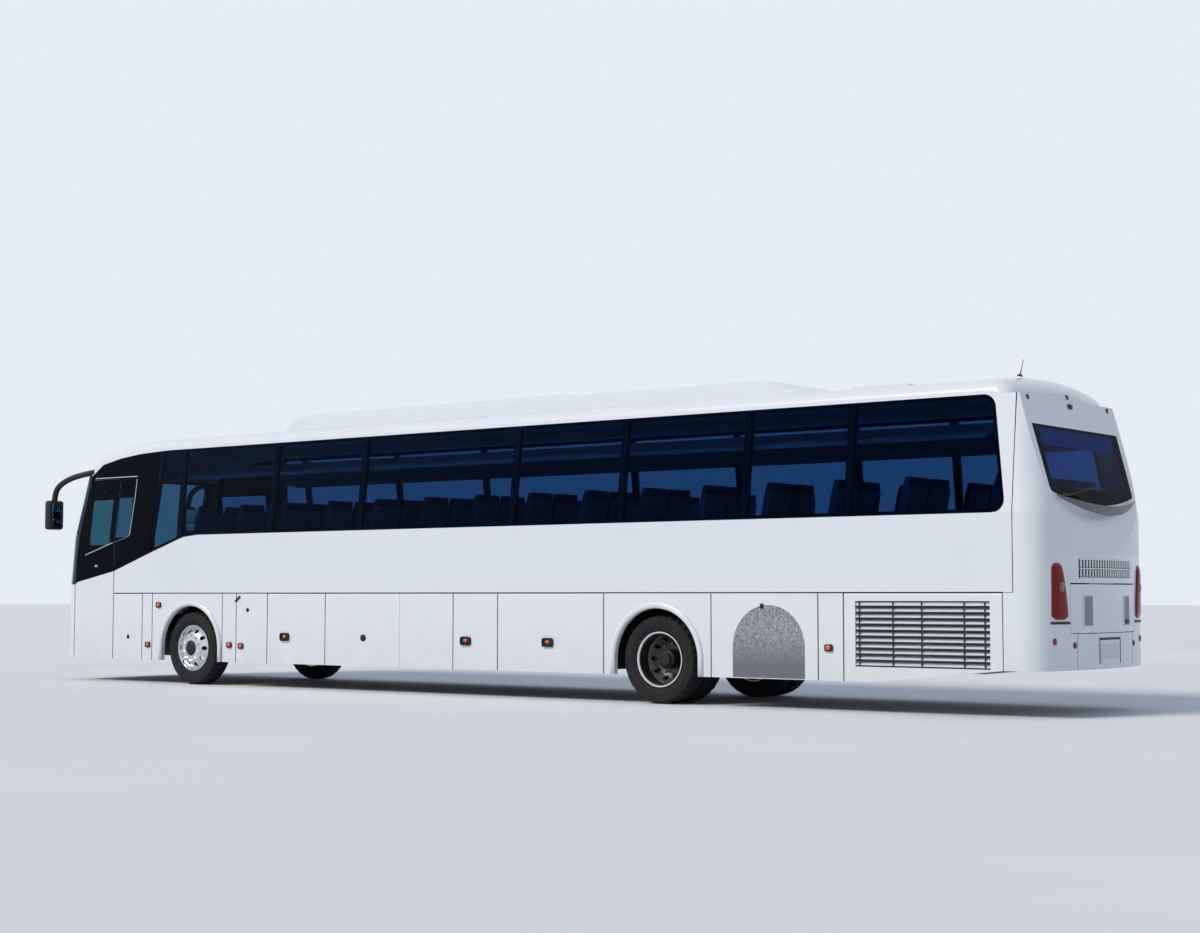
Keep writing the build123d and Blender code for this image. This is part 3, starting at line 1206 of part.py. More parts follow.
with BuildPart() as steering_wheel:
    with BuildSketch(wheel_plane.offset(-STEERING_RIM_R)):
        RegularPolygon(STEERING_WHEEL_R + STEERING_RIM_R, STEERING_SIDES)
        RegularPolygon(STEERING_WHEEL_R - STEERING_RIM_R, STEERING_SIDES, mode=Mode.SUBTRACT)
    extrude(amount=2 * STEERING_RIM_R)
    with BuildSketch(wheel_plane.offset(-STEERING_RIM_R / 2)):
        RegularPolygon(COLUMN_R * 2, COLUMN_SIDES)
        Rectangle(2 * STEERING_WHEEL_R, COLUMN_R)
        Rectangle(COLUMN_R, 2 * STEERING_WHEEL_R)
    extrude(amount=STEERING_RIM_R)
    with BuildSketch(wheel_plane):
        RegularPolygon(COLUMN_R, COLUMN_SIDES)
    extrude(amount=-column_length - MARGIN)
    add(box_between((0, -HALF, 0), (NOSE_X, 0, FLOOR_TOP + SEAT_GAP)), mode=Mode.SUBTRACT)
save(steering_wheel.part, "steering_wheel")

# Luggage racks along both sides, their outer edge along the leaning wall
def wall_y(z, set_in):
    return HALF - set_in - SIDE_LEAN * (z - SILL_Z)


rack_high_z = RACK_LOW_Z + RACK_T
rack_end_z = rack_high_z + RACK_RISE
with BuildPart() as rack:
    with BuildSketch(Plane.YZ.offset(from_tail(RACK_REAR))):
        with BuildLine():
            Polyline(
                (wall_y(RACK_LOW_Z, WALL_T + SEAT_GAP), RACK_LOW_Z), (wall_y(rack_high_z, WALL_T + SEAT_GAP), rack_high_z),
                (RACK_INNER_Y + RACK_LIP_T, rack_end_z), (RACK_INNER_Y + RACK_LIP_T, rack_end_z + RACK_LIP),
                (RACK_INNER_Y, rack_end_z + RACK_LIP), (RACK_INNER_Y, rack_end_z - RACK_T), close=True)
        make_face()
    extrude(amount=from_nose(RACK_FRONT) - from_tail(RACK_REAR))
save(both_sides(rack.part), "luggage_racks")


# Units on the roof, each with a section across and an outline along
def roof_unit(section, front_foot, front_top, rear_top, rear_foot):
    (low_y, low_z), (middle_y, middle_z), (high_y, high_z), crown = section
    with BuildPart() as unit:
        with BuildSketch(Plane.YZ.offset(rear_foot)):
            with BuildLine():
                Polyline((high_y, high_z), (middle_y, middle_z), (low_y, low_z), (-low_y, low_z),
                         (-middle_y, middle_z), (-high_y, high_z))
                ThreePointArc((-high_y, high_z), (0, high_z + crown), (high_y, high_z))
            make_face()
        extrude(amount=front_foot - rear_foot)
    top_z = high_z + crown
    outline = [(rear_foot, low_z), (rear_foot, low_z + POST), (rear_top, top_z), (front_top, top_z),
               (front_foot, low_z + POST), (front_foot, low_z)]
    return common(unit.part, side_block(outline))


with BuildPart() as crown_block:
    with BuildSketch(Plane.YZ.offset(TAIL_X)):
        with Locations((0, ROOF_Z - CROWN_R)):
            Circle(CROWN_R + SEAT_GAP)
    extrude(amount=BODY_LENGTH)
fairing = roof_unit(FAIRING_SECTION, from_nose(FAIRING_FRONT[0]), from_nose(FAIRING_FRONT[1]),
                    from_tail(FAIRING_REAR[1]), from_tail(FAIRING_REAR[0]))
hump = roof_unit(HUMP_SECTION, from_nose(HUMP_FRONT[0]), from_nose(HUMP_FRONT[1]),
                 from_tail(HUMP_REAR[1]), from_tail(HUMP_REAR[0]))
with BuildPart() as roof_fairing:
    add(cut_out(fairing, crown_block.part))
    add(hump)
save(roof_fairing.part, "roof_fairing")
hatch = roof_unit(HATCH_SECTION, from_tail(HATCH_FRONT), from_tail(HATCH_FRONT - POST),
                  from_tail(HATCH_REAR + POST), from_tail(HATCH_REAR))
save(cut_out(hatch, crown_block.part), "roof_hatch")

# Mirrors: an arm from the roof's front corner and a hanging head
arm_points = [(from_nose(distance), y, z) for distance, y, z in ARM_POINTS]
head_x = NOSE_X + MIRROR_REACH - MIRROR_DEPTH / 2
with BuildPart() as mirror_left:
    with BuildLine() as arm_line:
        Polyline(*arm_points)
    with BuildSketch(Plane(origin=arm_points[0], z_dir=Vector(*arm_points[1]) - Vector(*arm_points[0]))):
        RegularPolygon(ARM_R, ARM_SIDES)
    sweep(path=arm_line.line, transition=Transition.RIGHT)
    with BuildSketch(Plane.XY.offset(MIRROR_LOW)):
        with Locations((head_x, MIRROR_Y)):
            RectangleRounded(MIRROR_DEPTH, MIRROR_WIDTH, MIRROR_CORNER_R)
    extrude(amount=MIRROR_HIGH - MIRROR_LOW)
    add(outer.moved(Location((0, SEAT_GAP, 0))), mode=Mode.SUBTRACT)
save(both_sides(mirror_left.part), "mirrors")
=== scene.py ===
# %% [markdown]
# # Dressing a touring coach
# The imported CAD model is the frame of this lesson: it carries the real sizes and the joints. On top of it
# come finishes for what the frame already shapes well, and new pieces for what it only sketches, such as
# treaded tyres, wheel trims, lamps, latches and padded seats.

# %% Load the frame
import bpy, math
from contextlib import contextmanager
from functools import partial
from mathutils import Matrix, Vector


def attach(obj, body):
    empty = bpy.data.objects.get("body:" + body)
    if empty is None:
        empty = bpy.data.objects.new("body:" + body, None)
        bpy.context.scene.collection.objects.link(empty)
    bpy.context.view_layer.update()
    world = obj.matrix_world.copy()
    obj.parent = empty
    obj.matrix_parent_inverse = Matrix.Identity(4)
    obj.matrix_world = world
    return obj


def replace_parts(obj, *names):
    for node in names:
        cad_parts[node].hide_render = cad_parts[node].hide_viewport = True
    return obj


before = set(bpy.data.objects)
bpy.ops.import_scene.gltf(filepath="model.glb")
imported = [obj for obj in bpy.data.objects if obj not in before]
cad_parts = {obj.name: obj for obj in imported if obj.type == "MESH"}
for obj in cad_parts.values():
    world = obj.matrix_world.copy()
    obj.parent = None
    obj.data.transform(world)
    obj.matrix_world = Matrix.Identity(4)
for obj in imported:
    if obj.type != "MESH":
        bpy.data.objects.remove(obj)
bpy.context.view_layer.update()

# %% [markdown]
# ## The camera
# The photograph was taken from low down, off the coach's left rear corner, with a short telephoto. A camera
# can be placed by eye or worked out from known sizes. Here it was fitted to the photograph's lines first,
# so its place, its heading and its focal length are plain numbers.

# %% Place the camera
CAMERA_PLACE = (-15.527, 18.399, 1.174)
CAMERA_HEADING, CAMERA_PITCH = math.radians(-52.2286), math.radians(3.7498)
SENSOR_MM = 36.0
FOCAL_PIXELS, IMAGE_PIXELS = 1960.66, 1200  # focal length and image width, both in the photograph's pixels
camera_data = bpy.data.cameras.new("photo_camera")
camera_data.sensor_fit = "HORIZONTAL"
camera_data.sensor_width = SENSOR_MM
camera_data.lens = SENSOR_MM * FOCAL_PIXELS / IMAGE_PIXELS
camera_data.clip_end = 500
camera = bpy.data.objects.new("photo_camera", camera_data)
camera.location = CAMERA_PLACE
camera.rotation_euler = (math.pi / 2 + CAMERA_PITCH, 0, CAMERA_HEADING - math.pi / 2)
bpy.context.scene.collection.objects.link(camera)
bpy.context.scene.camera = camera
print("lens", round(camera_data.lens, 2), "mm")

# %% [markdown]
# ## Tools for finishes
# Colours are written as they look on screen, in hex, and a shader wants them linear, so one function
# converts them. Another adds a node with its settings and its links. The rest name what a finish needs:
# clouds of a real size, masks that are 1 inside some limits, and colours laid over each other.

# %% Helpers for materials
def linear(colour):
    """A hex colour as it looks, turned into the linear values that a shader takes."""
    parts = [int(colour[i:i + 2], 16) / 255 for i in (1, 3, 5)]
    return [c / 12.92 if c <= 0.04045 else ((c + 0.055) / 1.055) ** 2.4 for c in parts] + [1.0]


def feed(socket, value):
    """Give a socket a number, a hex colour or another node's output."""
    if isinstance(value, bpy.types.NodeSocket):
        socket.id_data.links.new(value, socket)
    else:
        socket.default_value = linear(value) if isinstance(value, str) else value


def node(owner, kind, inputs=(), output=0, **options):
    """Add a node with its options, feed its inputs in order or by name or number, and give one output."""
    added = owner.node_tree.nodes.new("ShaderNode" + kind)
    for option, value in options.items():
        setattr(added, option, value)
    for place, value in inputs.items() if isinstance(inputs, dict) else enumerate(inputs):
        feed(added.inputs[place], value)
    return added.outputs[output]


def skin(material):
    """The sockets of a material's principled shader."""
    return material.node_tree.nodes["Principled BSDF"].inputs


def place_of(material):
    """The Object coordinates, which stay put on a piece whatever it rides on."""
    return node(material, "TexCoord", output="Object")


def axes_of(material):
    return node(material, "SeparateXYZ", [place_of(material)]).node.outputs


def combined(material, operation, *values):
    """Values taken together by one operation, two at a time."""
    result = values[0]
    for value in values[1:]:
        result = node(material, "Math", (result, value), operation=operation)
    return result


def within(material, value, low, high):
    """A mask that is 1 where the value lies between two limits."""
    return node(material, "Math", (value, (low + high) / 2, (high - low) / 2), operation="COMPARE")


def clouds(material, size_mm, low=0.35, high=0.65):
    """Soft patches of about that size, stretched to run from 0 to 1."""
    settings = {"Vector": place_of(material), "Scale": 1000 / size_mm, "Detail": 3.0}
    noise = node(material, "TexNoise", settings, "Fac")
    return node(material, "MapRange", {"Value": noise, "From Min": low, "From Max": high})


def coloured(material, amount, under, over):
    """Colour the finish with one colour and another over it by an amount, and give the blend."""
    blend = node(material, "Mix", {0: amount, 6: under, 7: over}, 2, data_type="RGBA")
    feed(skin(material)["Base Color"], blend)
    return blend


def raised(material, height, depth):
    bump = node(material, "Bump", {"Height": height, "Distance": depth, "Strength": 1.0})
    feed(skin(material)["Normal"], bump)


def finish(name, colour, roughness, metallic=0.0, patches=None, relief=None, **shader):
    """A material. Patches: size in mm, colour, colour over it, share. Relief: size in mm, depth in m."""
    material = bpy.data.materials.new(name)
    material.use_nodes = True
    values = {"Base Color": colour, "Roughness": roughness, "Metallic": metallic, **shader}
    for socket, value in values.items():
        feed(skin(material)[socket.replace("_", " ")], value)
    if patches:
        size_mm, under, over, share = patches
        coloured(material, combined(material, "MULTIPLY", clouds(material, size_mm), share), under, over)
    if relief:
        size_mm, depth = relief
        raised(material, clouds(material, size_mm), depth)
    return material


print("white reads", [round(c, 3) for c in linear("#E2E5E9")])

# %% [markdown]
# ## White coach paint
# A coach is sprayed with two-pack polyurethane: an even, glossy white with a faint orange peel. Near the
# skirt it carries a film of road dust, and its gloss is broken a little where it has been wiped. A black
# rubber edge follows each joint between panels, which is why the joints read as crisp lines from far off.

# %% Coach paint, plain and with rubber edges
JOINTS = (5.558, 5.351, 3.957, 3.690, 3.108, 2.064, -0.062, -0.749, -2.288, -3.723, -5.040, -5.339, -7.091)
TALL_JOINTS = ((6.168, 1.50), (7.018, 1.34))  # X, and the height at which the joint ends
WAIST, WAIST_ENDS, CAP_SEAM, EDGE_HALF = 1.198, (-7.09, 6.17), -7.200, 0.0065
WHITE, DUST_FOOT, DUST_HEAD = "#DDE1E6", 0.3, 0.9
DUST_MM, TONE_MM, WIPED_MM, PEEL_MM = 260.0, 1400.0, 420.0, 14.0


def rubber_edges(paint, x, z):
    """A mask of the rubber edges: joints of the skirt, tall joints, the rear cap's seam and the waist."""
    step = partial(combined, paint)

    def line(value, place):
        return within(paint, value, place - EDGE_HALF, place + EDGE_HALF)

    joints = step("MAXIMUM", *[line(x, joint) for joint in JOINTS])
    lines = [step("MULTIPLY", joints, step("LESS_THAN", z, WAIST)),
             step("MULTIPLY", line(x, CAP_SEAM), step("GREATER_THAN", z, WAIST)),
             step("MULTIPLY", line(z, WAIST), within(paint, x, *WAIST_ENDS))]
    for joint, head in TALL_JOINTS:
        lines.append(step("MULTIPLY", line(x, joint), step("LESS_THAN", z, head)))
    return step("MAXIMUM", *lines)


def coach_paint(name, coat=0.5, edges=False):
    """White paint with dust that lies thickest at its foot; gives the paint, its axes and its colour."""
    paint = finish(name, WHITE, 0.3, IOR=1.5, Coat_Weight=coat, Coat_Roughness=0.06)
    axes = axes_of(paint)
    low_down = node(paint, "MapRange", {"Value": axes["Z"], "From Min": DUST_HEAD, "From Max": DUST_FOOT})
    dust = combined(paint, "MULTIPLY", low_down, clouds(paint, DUST_MM, 0.2, 0.8), 0.3)
    tone = coloured(paint, dust, WHITE, "#A9A59C")
    uneven = combined(paint, "MULTIPLY", clouds(paint, TONE_MM, 0.2, 0.8), 0.2)
    tone = coloured(paint, uneven, tone, "#D2D8E0")
    if edges:
        tone = coloured(paint, rubber_edges(paint, axes["X"], axes["Z"]), tone, "#101214")
    smears = clouds(paint, WIPED_MM, 0.1, 0.9)
    feed(skin(paint)["Roughness"], node(paint, "MapRange", {"Value": smears, "To Min": 0.27, "To Max": 0.35}))
    peel = node(paint, "TexNoise", {"Vector": place_of(paint), "Scale": 1000 / PEEL_MM, "Detail": 1.0}, "Fac")
    raised(paint, peel, 0.0001)
    return paint, axes, tone


white_paint, _, _ = coach_paint("two_pack_coach_paint")
panel_paint, _, _ = coach_paint("coach_paint_with_rubber_edges", edges=True)
print("paints:", white_paint.name, panel_paint.name)

# %% [markdown]
# ## Black print over the paint
# Bands of black print round the glass hide the frame, so the paint turns black inside the glazing. The
# band's edges follow stations along the side, and its rear end leans with the body and has round corners.

# %% Paint with the side's band, with the screen's and with the rear window's
BAND_FOOT = [(-7.12, 1.968), (4.47, 1.968), (4.75, 1.944), (5.438, 1.737), (6.176, 1.502), (7.02, 1.345)]
BAND_HEAD = [(-6.97, 3.1215), (5.242, 3.1215), (5.816, 3.0955), (6.22, 3.0505), (6.581, 2.9785),
             (6.788, 2.8345)]
RAMP_TOP = 4.0  # the height in metres that the ramp shows as white
CORNER, END_X, FOOT_Z, HEAD_Z, END_LEAN, CORNERS_END = 0.140, -6.970, 1.964, 3.122, 0.1382, -6.7
SCREEN_FOOT = 1.3195
DIP_BOW, DIP_Z, PRINT_HEAD, PRINT_HALF, CAP_FRONT = 0.113, 2.068, 3.033, 0.978, -7.3


def height_along(material, along, stations):
    """A height in metres that follows stations of (place along, height), by a colour ramp."""
    first, last = stations[0][0], stations[-1][0]
    share = node(material, "MapRange", {"Value": along, "From Min": first, "From Max": last})
    grey = node(material, "ValToRGB", [share])
    points = grey.node.color_ramp.elements
    for place, _ in stations[1:-1]:
        points.new((place - first) / (last - first))
    for point, (_, height) in zip(points, stations):
        point.color = (*[height / RAMP_TOP] * 3, 1)
    return combined(material, "MULTIPLY", grey, RAMP_TOP)


banded_paint, (x, _, z), tone = coach_paint("coach_paint_with_glazing_band", coat=0.0, edges=True)
step = partial(combined, banded_paint)
above_foot = step("GREATER_THAN", z, height_along(banded_paint, x, BAND_FOOT))
below_head = step("LESS_THAN", z, height_along(banded_paint, x, BAND_HEAD))
upright = node(banded_paint, "Math", (z, -END_LEAN, HEAD_Z * END_LEAN), operation="MULTIPLY_ADD")
past_end = step("MAXIMUM", step("SUBTRACT", END_X + CORNER, step("ADD", upright, x)), 0.0)
past_height = step("MAXIMUM", step("SUBTRACT", z, HEAD_Z - CORNER), step("SUBTRACT", FOOT_Z + CORNER, z), 0.0)
reach = step("ADD", step("POWER", past_height, 2.0), step("POWER", past_end, 2.0))
rounded = step("MAXIMUM", step("LESS_THAN", reach, CORNER ** 2), step("GREATER_THAN", x, CORNERS_END))
coloured(banded_paint, step("MULTIPLY", above_foot, below_head, rounded), tone, "#0B0F16")

mask_paint, (_, _, z), tone = coach_paint("coach_paint_black_round_screen")
coloured(mask_paint, combined(mask_paint, "GREATER_THAN", z, SCREEN_FOOT), tone, "#0A0D12")

cap_paint, (x, y, z), tone = coach_paint("coach_paint_black_round_rear_window", coat=0.1)
step = partial(combined, cap_paint)
span = node(cap_paint, "Math", [y], operation="ABSOLUTE")
dip = step("ADD", step("MULTIPLY", step("POWER", span, 2.0), DIP_BOW), DIP_Z)
inside = step("MULTIPLY", step("GREATER_THAN", z, dip), step("LESS_THAN", z, PRINT_HEAD),
              step("LESS_THAN", span, PRINT_HALF), step("LESS_THAN", x, CAP_FRONT))
coloured(cap_paint, inside, tone, "#0A0D12")
print("printed paints:", banded_paint.name, mask_paint.name, cap_paint.name)

# %% [markdown]
# ## Glass
# The side panes are solar glass, dark blue in the body; the screen and the door's pane are clearer, with the
# green that thick glass has. Every pane's reflections are tinted blue, a painted sky reflection, and the rear
# window's deeper blue is partly its tint and partly painted sky reflection. Principled transmission shows the
# seats through them. The black print on the door and the quarter light leaves a clear window with straight
# edges.

# %% Glass finishes
def printed_glass(name, tint, windows, ior=1.15):
    """Tinted glass with black print all over but in its windows, which are boxes of {axis: (low, high)}."""
    # The blue specular tint paints a blue sky reflection on every pane
    glass = finish(name, tint, 0.02, IOR=ior, Transmission_Weight=1.0, Specular_Tint="#3A5FA8")
    if windows:
        axes = axes_of(glass)
        masks = []
        for window in windows:
            sides = [within(glass, axes[axis], *limits) for axis, limits in window.items()]
            masks.append(combined(glass, "MULTIPLY", *sides))
        clear = combined(glass, "MAXIMUM", *masks)
        coloured(glass, clear, "#04060C", tint)
        feed(skin(glass)["Transmission Weight"], clear)
    return glass


solar_glass = printed_glass("solar_control_glass", "#5C81A6", [
    {"X": (-9.0, 5.395)}, {"X": (5.860, 6.150), "Y": (0.0, 2.0), "Z": (1.960, 2.500)},
    {"X": (5.800, 6.740), "Y": (-2.0, 0.0), "Z": (1.850, 2.620)}])
# The rear window's deeper blue is partly its tint and partly painted sky reflection
rear_glass = printed_glass("rear_window_glass", "#3F6AA6", [{"Y": (-0.895, 0.895), "Z": (2.215, 2.965)}],
                           ior=1.07)
screen_glass = printed_glass("laminated_screen_glass", "#86AAB0", [], ior=1.25)
door_pane_glass = printed_glass("door_pane_glass", "#5A8C9C", [{"X": (6.275, 6.700), "Z": (1.860, 2.480)}])
print("glass:", solar_glass.name, rear_glass.name, screen_glass.name, door_pane_glass.name)

# %% [markdown]
# ## Rubber, metal and enamel
# Each of these starts from what the stuff is and how its surface was made: moulded, polished, sprayed,
# brushed on or cast. Most need only cloudy patches of colour or a fine relief, sized in real millimetres.

# %% Rubber, metal and enamel
REAR_X, TYRE_R, FLANGE_R = -3.003, 0.479, 0.277
# Carbon-black rubber is nearly black and dull, and pale dust dims it in patches
tyre_rubber = finish("tyre_rubber", "#1C1C1E", 0.82, patches=(60.0, "#121317", "#232324", 0.5),
                     relief=(5.0, 0.0006), Specular_IOR_Level=0.35)
# Polished stainless steel mirrors its surroundings, a little blurred where it was wiped
trim_steel = finish("polished_stainless_steel", "#D5D7DA", 0.16, metallic=1.0)
wiped = node(trim_steel, "MapRange", {"Value": clouds(trim_steel, 35.0), "To Min": 0.10, "To Max": 0.24})
feed(skin(trim_steel)["Roughness"], wiped)
# Sprayed silver enamel has a soft metallic shine under brown grime
wheel_enamel = finish("silver_wheel_enamel", "#9A9DA1", 0.42, metallic=0.85,
                      patches=(45.0, "#A4A7AB", "#6A6763", 0.7))
# The rear rims are dark, partly from brake dust and partly as painted shade in the deep dish, and the outer
# flange is painted bright as a painted highlight
deep_rim = finish("dusty_rim_enamel_with_polished_flange", "#5A5C60", 0.4, metallic=0.8,
                  patches=(45.0, "#3C3E42", "#5C5A57", 1.0))
dust_and_shade_dish_colour = skin(deep_rim)["Base Color"].links[0].from_socket
x, _, z = axes_of(deep_rim)
step = partial(combined, deep_rim)
from_axle = step("ADD", step("POWER", step("SUBTRACT", x, REAR_X), 2.0),
                 step("POWER", step("SUBTRACT", z, TYRE_R), 2.0))
# Past the flange radius the colour is painted near white: a painted highlight on the rim's edge, over the
# dish's painted shade
coloured(deep_rim, step("GREATER_THAN", from_axle, FLANGE_R ** 2), dust_and_shade_dish_colour, "#E3E5E8")
# Oiled cast iron is dark and grainy, and an engine's iron is paler and coarser
hub_iron = finish("oily_hub_casting", "#26272A", 0.5, metallic=0.6, relief=(4.0, 0.0008))
engine_casting = finish("cast_iron_engine", "#46484B", 0.65, metallic=0.7, relief=(9.0, 0.0015))
# Brushed-on chassis enamel is black, with dried mud over it
chassis_enamel = finish("black_chassis_enamel", "#1A1B1C", 0.55, patches=(180.0, "#18191A", "#3A352E", 0.6))
# A blank plate is pale smooth enamel, faintly wavy as thin sheet is
plate_enamel = finish("blank_plate_enamel", "#CDD1D8", 0.35, relief=(20.0, 0.0002))
print("metals:", trim_steel.name, wheel_enamel.name, deep_rim.name, hub_iron.name)

# %% [markdown]
# ## Plastics, cloth and lenses
# Moulded plastic and rubber have a leathery grain of a few millimetres that breaks their shine, cloth has its
# weave, and lenses are deep and glossy.

# %% Plastics, cloth and lenses
# The mould gives each plastic its grain, and the seal is duller and blacker than the rest
black_plastic = finish("moulded_black_plastic", "#131416", 0.5, relief=(2.5, 0.0002), Specular_IOR_Level=0.35)
grey_plastic = finish("textured_grey_plastic", "#8A8D90", 0.6, relief=(3.0, 0.0002))
smoke_plastic = finish("smoke_grey_plastic", "#5B5D61", 0.4, relief=(3.0, 0.0002))
rubber_seal = finish("black_rubber_seal", "#0E0F11", 0.7, relief=(6.0, 0.0002))
# Rolled floor vinyl has pale flecks in a dark ground
floor_vinyl = finish("speckled_floor_vinyl", "#3A3C40", 0.6)
coloured(floor_vinyl, clouds(floor_vinyl, 6.0, 0.55, 0.6), "#35373B", "#6C7076")
# Moquette is a woven pile: ribs about 9 mm wide, coarser than real ones so that they show, and a soft sheen
WEAVE_MM, RIB_MM = 9.0, 14.0
WAVE_TURN = 6.28  # a wave texture's ribs come out about 1000 / (WAVE_TURN * scale) mm wide
moquette = finish("woven_moquette", "#2A3550", 0.9, Sheen_Weight=0.4, Sheen_Roughness=0.5)
weave = node(moquette, "TexWave", {"Vector": place_of(moquette), "Scale": 1000 / WEAVE_MM / WAVE_TURN,
                                   "Distortion": 2.0}, "Fac")
coloured(moquette, weave, "#232D45", "#3B4A6B")
raised(moquette, weave, 0.0008)
# Moulded acrylic lenses are deep and glossy, and the red ones have level ribs inside
red_lens = finish("red_acrylic_lens", "#6A070B", 0.2, IOR=1.3)
ribs = node(red_lens, "TexWave", {"Vector": place_of(red_lens), "Scale": 1000 / RIB_MM / WAVE_TURN}, "Fac",
            bands_direction="Z")
coloured(red_lens, ribs, "#74070C", "#860C10")
raised(red_lens, ribs, 0.0008)
amber_lens = finish("amber_acrylic_lens", "#D9641A", 0.15, patches=(12.0, "#D2480C", "#E8662A", 1.0),
                    IOR=1.49, Coat_Weight=0.6)
# Clear lenses are colourless and let the bowl behind them shine through
clear_lens = finish("clear_lamp_lens", "#DCE4E6", 0.05, IOR=1.45, Transmission_Weight=0.9)
# A lamp's bowl is plastic with a bright film of aluminium
lamp_mirror = finish("lamp_reflector_film", "#E2E4E6", 0.14, metallic=1.0)
print("finishes:", len(bpy.data.materials))

# %% [markdown]
# ## Finishing the frame's own pieces
# A CAD piece whose shape is right keeps it, and only gets its finish. A table of names does that in one
# pass.

# %% Give the CAD pieces their finishes
FINISHES = (
    (white_paint, ("roof_skin", "roof_fairing", "roof_hatch", "rear_panel", "engine_lid", "tail_lamps")),
    (panel_paint, ("skirt_panels",)), (cap_paint, ("rear_cap",)), (mask_paint, ("front_mask",)),
    (banded_paint, ("side_wall_left", "side_wall_right", "door_leaf")),
    (door_pane_glass, ("door_glass",)), (solar_glass, ("side_glass",)), (rear_glass, ("rear_window",)),
    (screen_glass, ("windscreen",)), (grey_plastic, ("luggage_racks",)), (floor_vinyl, ("floor_deck",)),
    (black_plastic, ("headlamps", "mirrors", "arch_liners", "dashboard", "steering_wheel")),
    (chassis_enamel, ("bay_frame", "front_frame", "rear_frame", "front_axle", "rear_axle", "knuckle_left",
                      "knuckle_right", "fuel_tank")),
    (engine_casting, ("engine_block",)), (moquette, ("seats",)),
)
finish_of = {name: material for material, names in FINISHES for name in names}
for name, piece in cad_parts.items():
    flap = name.startswith(("bay_door", "locker_door", "engine_door"))
    material = panel_paint if flap else finish_of.get(name, hub_iron)
    for slot in piece.material_slots:
        slot.material = material
    if not piece.material_slots:
        piece.data.materials.append(material)
print("finished", len(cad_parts), "CAD pieces")

# %% [markdown]
# ## Tools for modelling
# Turned pieces start from a single vertex that is extruded along the profile and then spun about the axle.
# Small mouldings start from a cube, scaled to size and bevelled. Thin pieces that lie on the body start
# from a grid whose vertices are laid on the body's own surface, and then get their thickness.

# %% Helpers for modelling
MIRROR, BOTH = Matrix.Scale(-1, 4, (0, 1, 0)), ("left", "right")


def start_fresh():
    if bpy.context.object and bpy.context.object.mode != "OBJECT":
        bpy.ops.object.mode_set(mode="OBJECT")
    bpy.ops.object.select_all(action="DESELECT")


def pick(piece):
    """Make a piece the active one and the only one selected."""
    start_fresh()
    piece.select_set(True)
    bpy.context.view_layer.objects.active = piece


@contextmanager
def editing(kind=None, everything=True):
    """Edit Mode for the steps under it, with everything selected or with what Object Mode has picked."""
    bpy.ops.object.mode_set(mode="EDIT")
    if kind:
        bpy.ops.mesh.select_mode(type=kind)
    if everything:
        bpy.ops.mesh.select_all(action="SELECT")
    yield
    bpy.ops.object.mode_set(mode="OBJECT")


def settle(piece, name, material, smooth=35):
    """Name a piece, put its place into its mesh, and give it its finish."""
    pick(piece)
    bpy.ops.object.transform_apply(location=True, rotation=True, scale=True)
    piece.name = name
    piece.data.materials.clear()
    piece.data.materials.append(material)
    bpy.ops.object.shade_smooth_by_angle(angle=math.radians(smooth))
    return piece


def modified(piece, kind, **settings):
    """Add a modifier with its settings and apply it."""
    bpy.context.view_layer.objects.active = piece
    extra = piece.modifiers.new(kind.lower(), kind)
    for option, value in settings.items():
        setattr(extra, option, value)
    bpy.ops.object.modifier_apply(modifier=extra.name)
    return piece


def line_through(points):
    """Edges through points: one vertex, extruded from each point to the next. It leaves Edit Mode on."""
    start_fresh()
    bpy.ops.mesh.primitive_plane_add(size=0.01, location=points[0])
    bpy.ops.object.mode_set(mode="EDIT")
    bpy.ops.mesh.select_mode(type="VERT")
    bpy.ops.mesh.select_all(action="SELECT")
    bpy.ops.mesh.merge(type="CENTER")
    for before, after in zip(points, points[1:]):
        bpy.ops.mesh.extrude_region_move(TRANSFORM_OT_translate={"value": Vector(after) - Vector(before)})
    bpy.ops.mesh.select_all(action="SELECT")
    return bpy.context.object


def turned(name, profile, material, centre=(0, 0, 0), axis=(0, 1, 0), steps=96, smooth=35):
    """Spin a profile of (radius, distance along the axis) about an axis through the centre."""
    axis = Vector(axis).normalized()
    across = Vector((0, 0, 1)) if abs(axis.z) < 0.9 else Vector((1, 0, 0))
    across = (across - axis * across.dot(axis)).normalized()
    piece = line_through([Vector(centre) + across * r + axis * d for r, d in profile])
    bpy.ops.mesh.spin(steps=steps, angle=2 * math.pi, center=centre, axis=axis)
    bpy.ops.mesh.select_all(action="SELECT")
    bpy.ops.mesh.remove_doubles(threshold=0.00005)
    bpy.ops.mesh.normals_make_consistent(inside=False)
    bpy.ops.object.mode_set(mode="OBJECT")
    return settle(piece, name, material, smooth)


def bar_along(name, points, across, material):
    """A slim moulding that follows points and is as wide as the step across."""
    piece = line_through(points)
    bpy.ops.mesh.extrude_region_move(TRANSFORM_OT_translate={"value": across})
    bpy.ops.object.mode_set(mode="OBJECT")
    modified(piece, "SOLIDIFY", thickness=0.006, offset=0.0)
    with editing():
        bpy.ops.mesh.normals_make_consistent(inside=False)
    return settle(piece, name, material)


def cube_between(low, high):
    """A cube stretched from one corner to the other."""
    start_fresh()
    bpy.ops.mesh.primitive_cube_add(size=1, location=[(a + b) / 2 for a, b in zip(low, high)])
    cube = bpy.context.object
    cube.scale = [b - a for a, b in zip(low, high)]
    bpy.ops.object.transform_apply(location=True, rotation=True, scale=True)
    return cube


def block(name, low, high, material, round_by=0.004, segments=2):
    """A bevelled block between two corners."""
    piece = cube_between(low, high)
    with editing():
        bpy.ops.mesh.bevel(offset=round_by, segments=segments, affect="EDGES")
    return settle(piece, name, material)


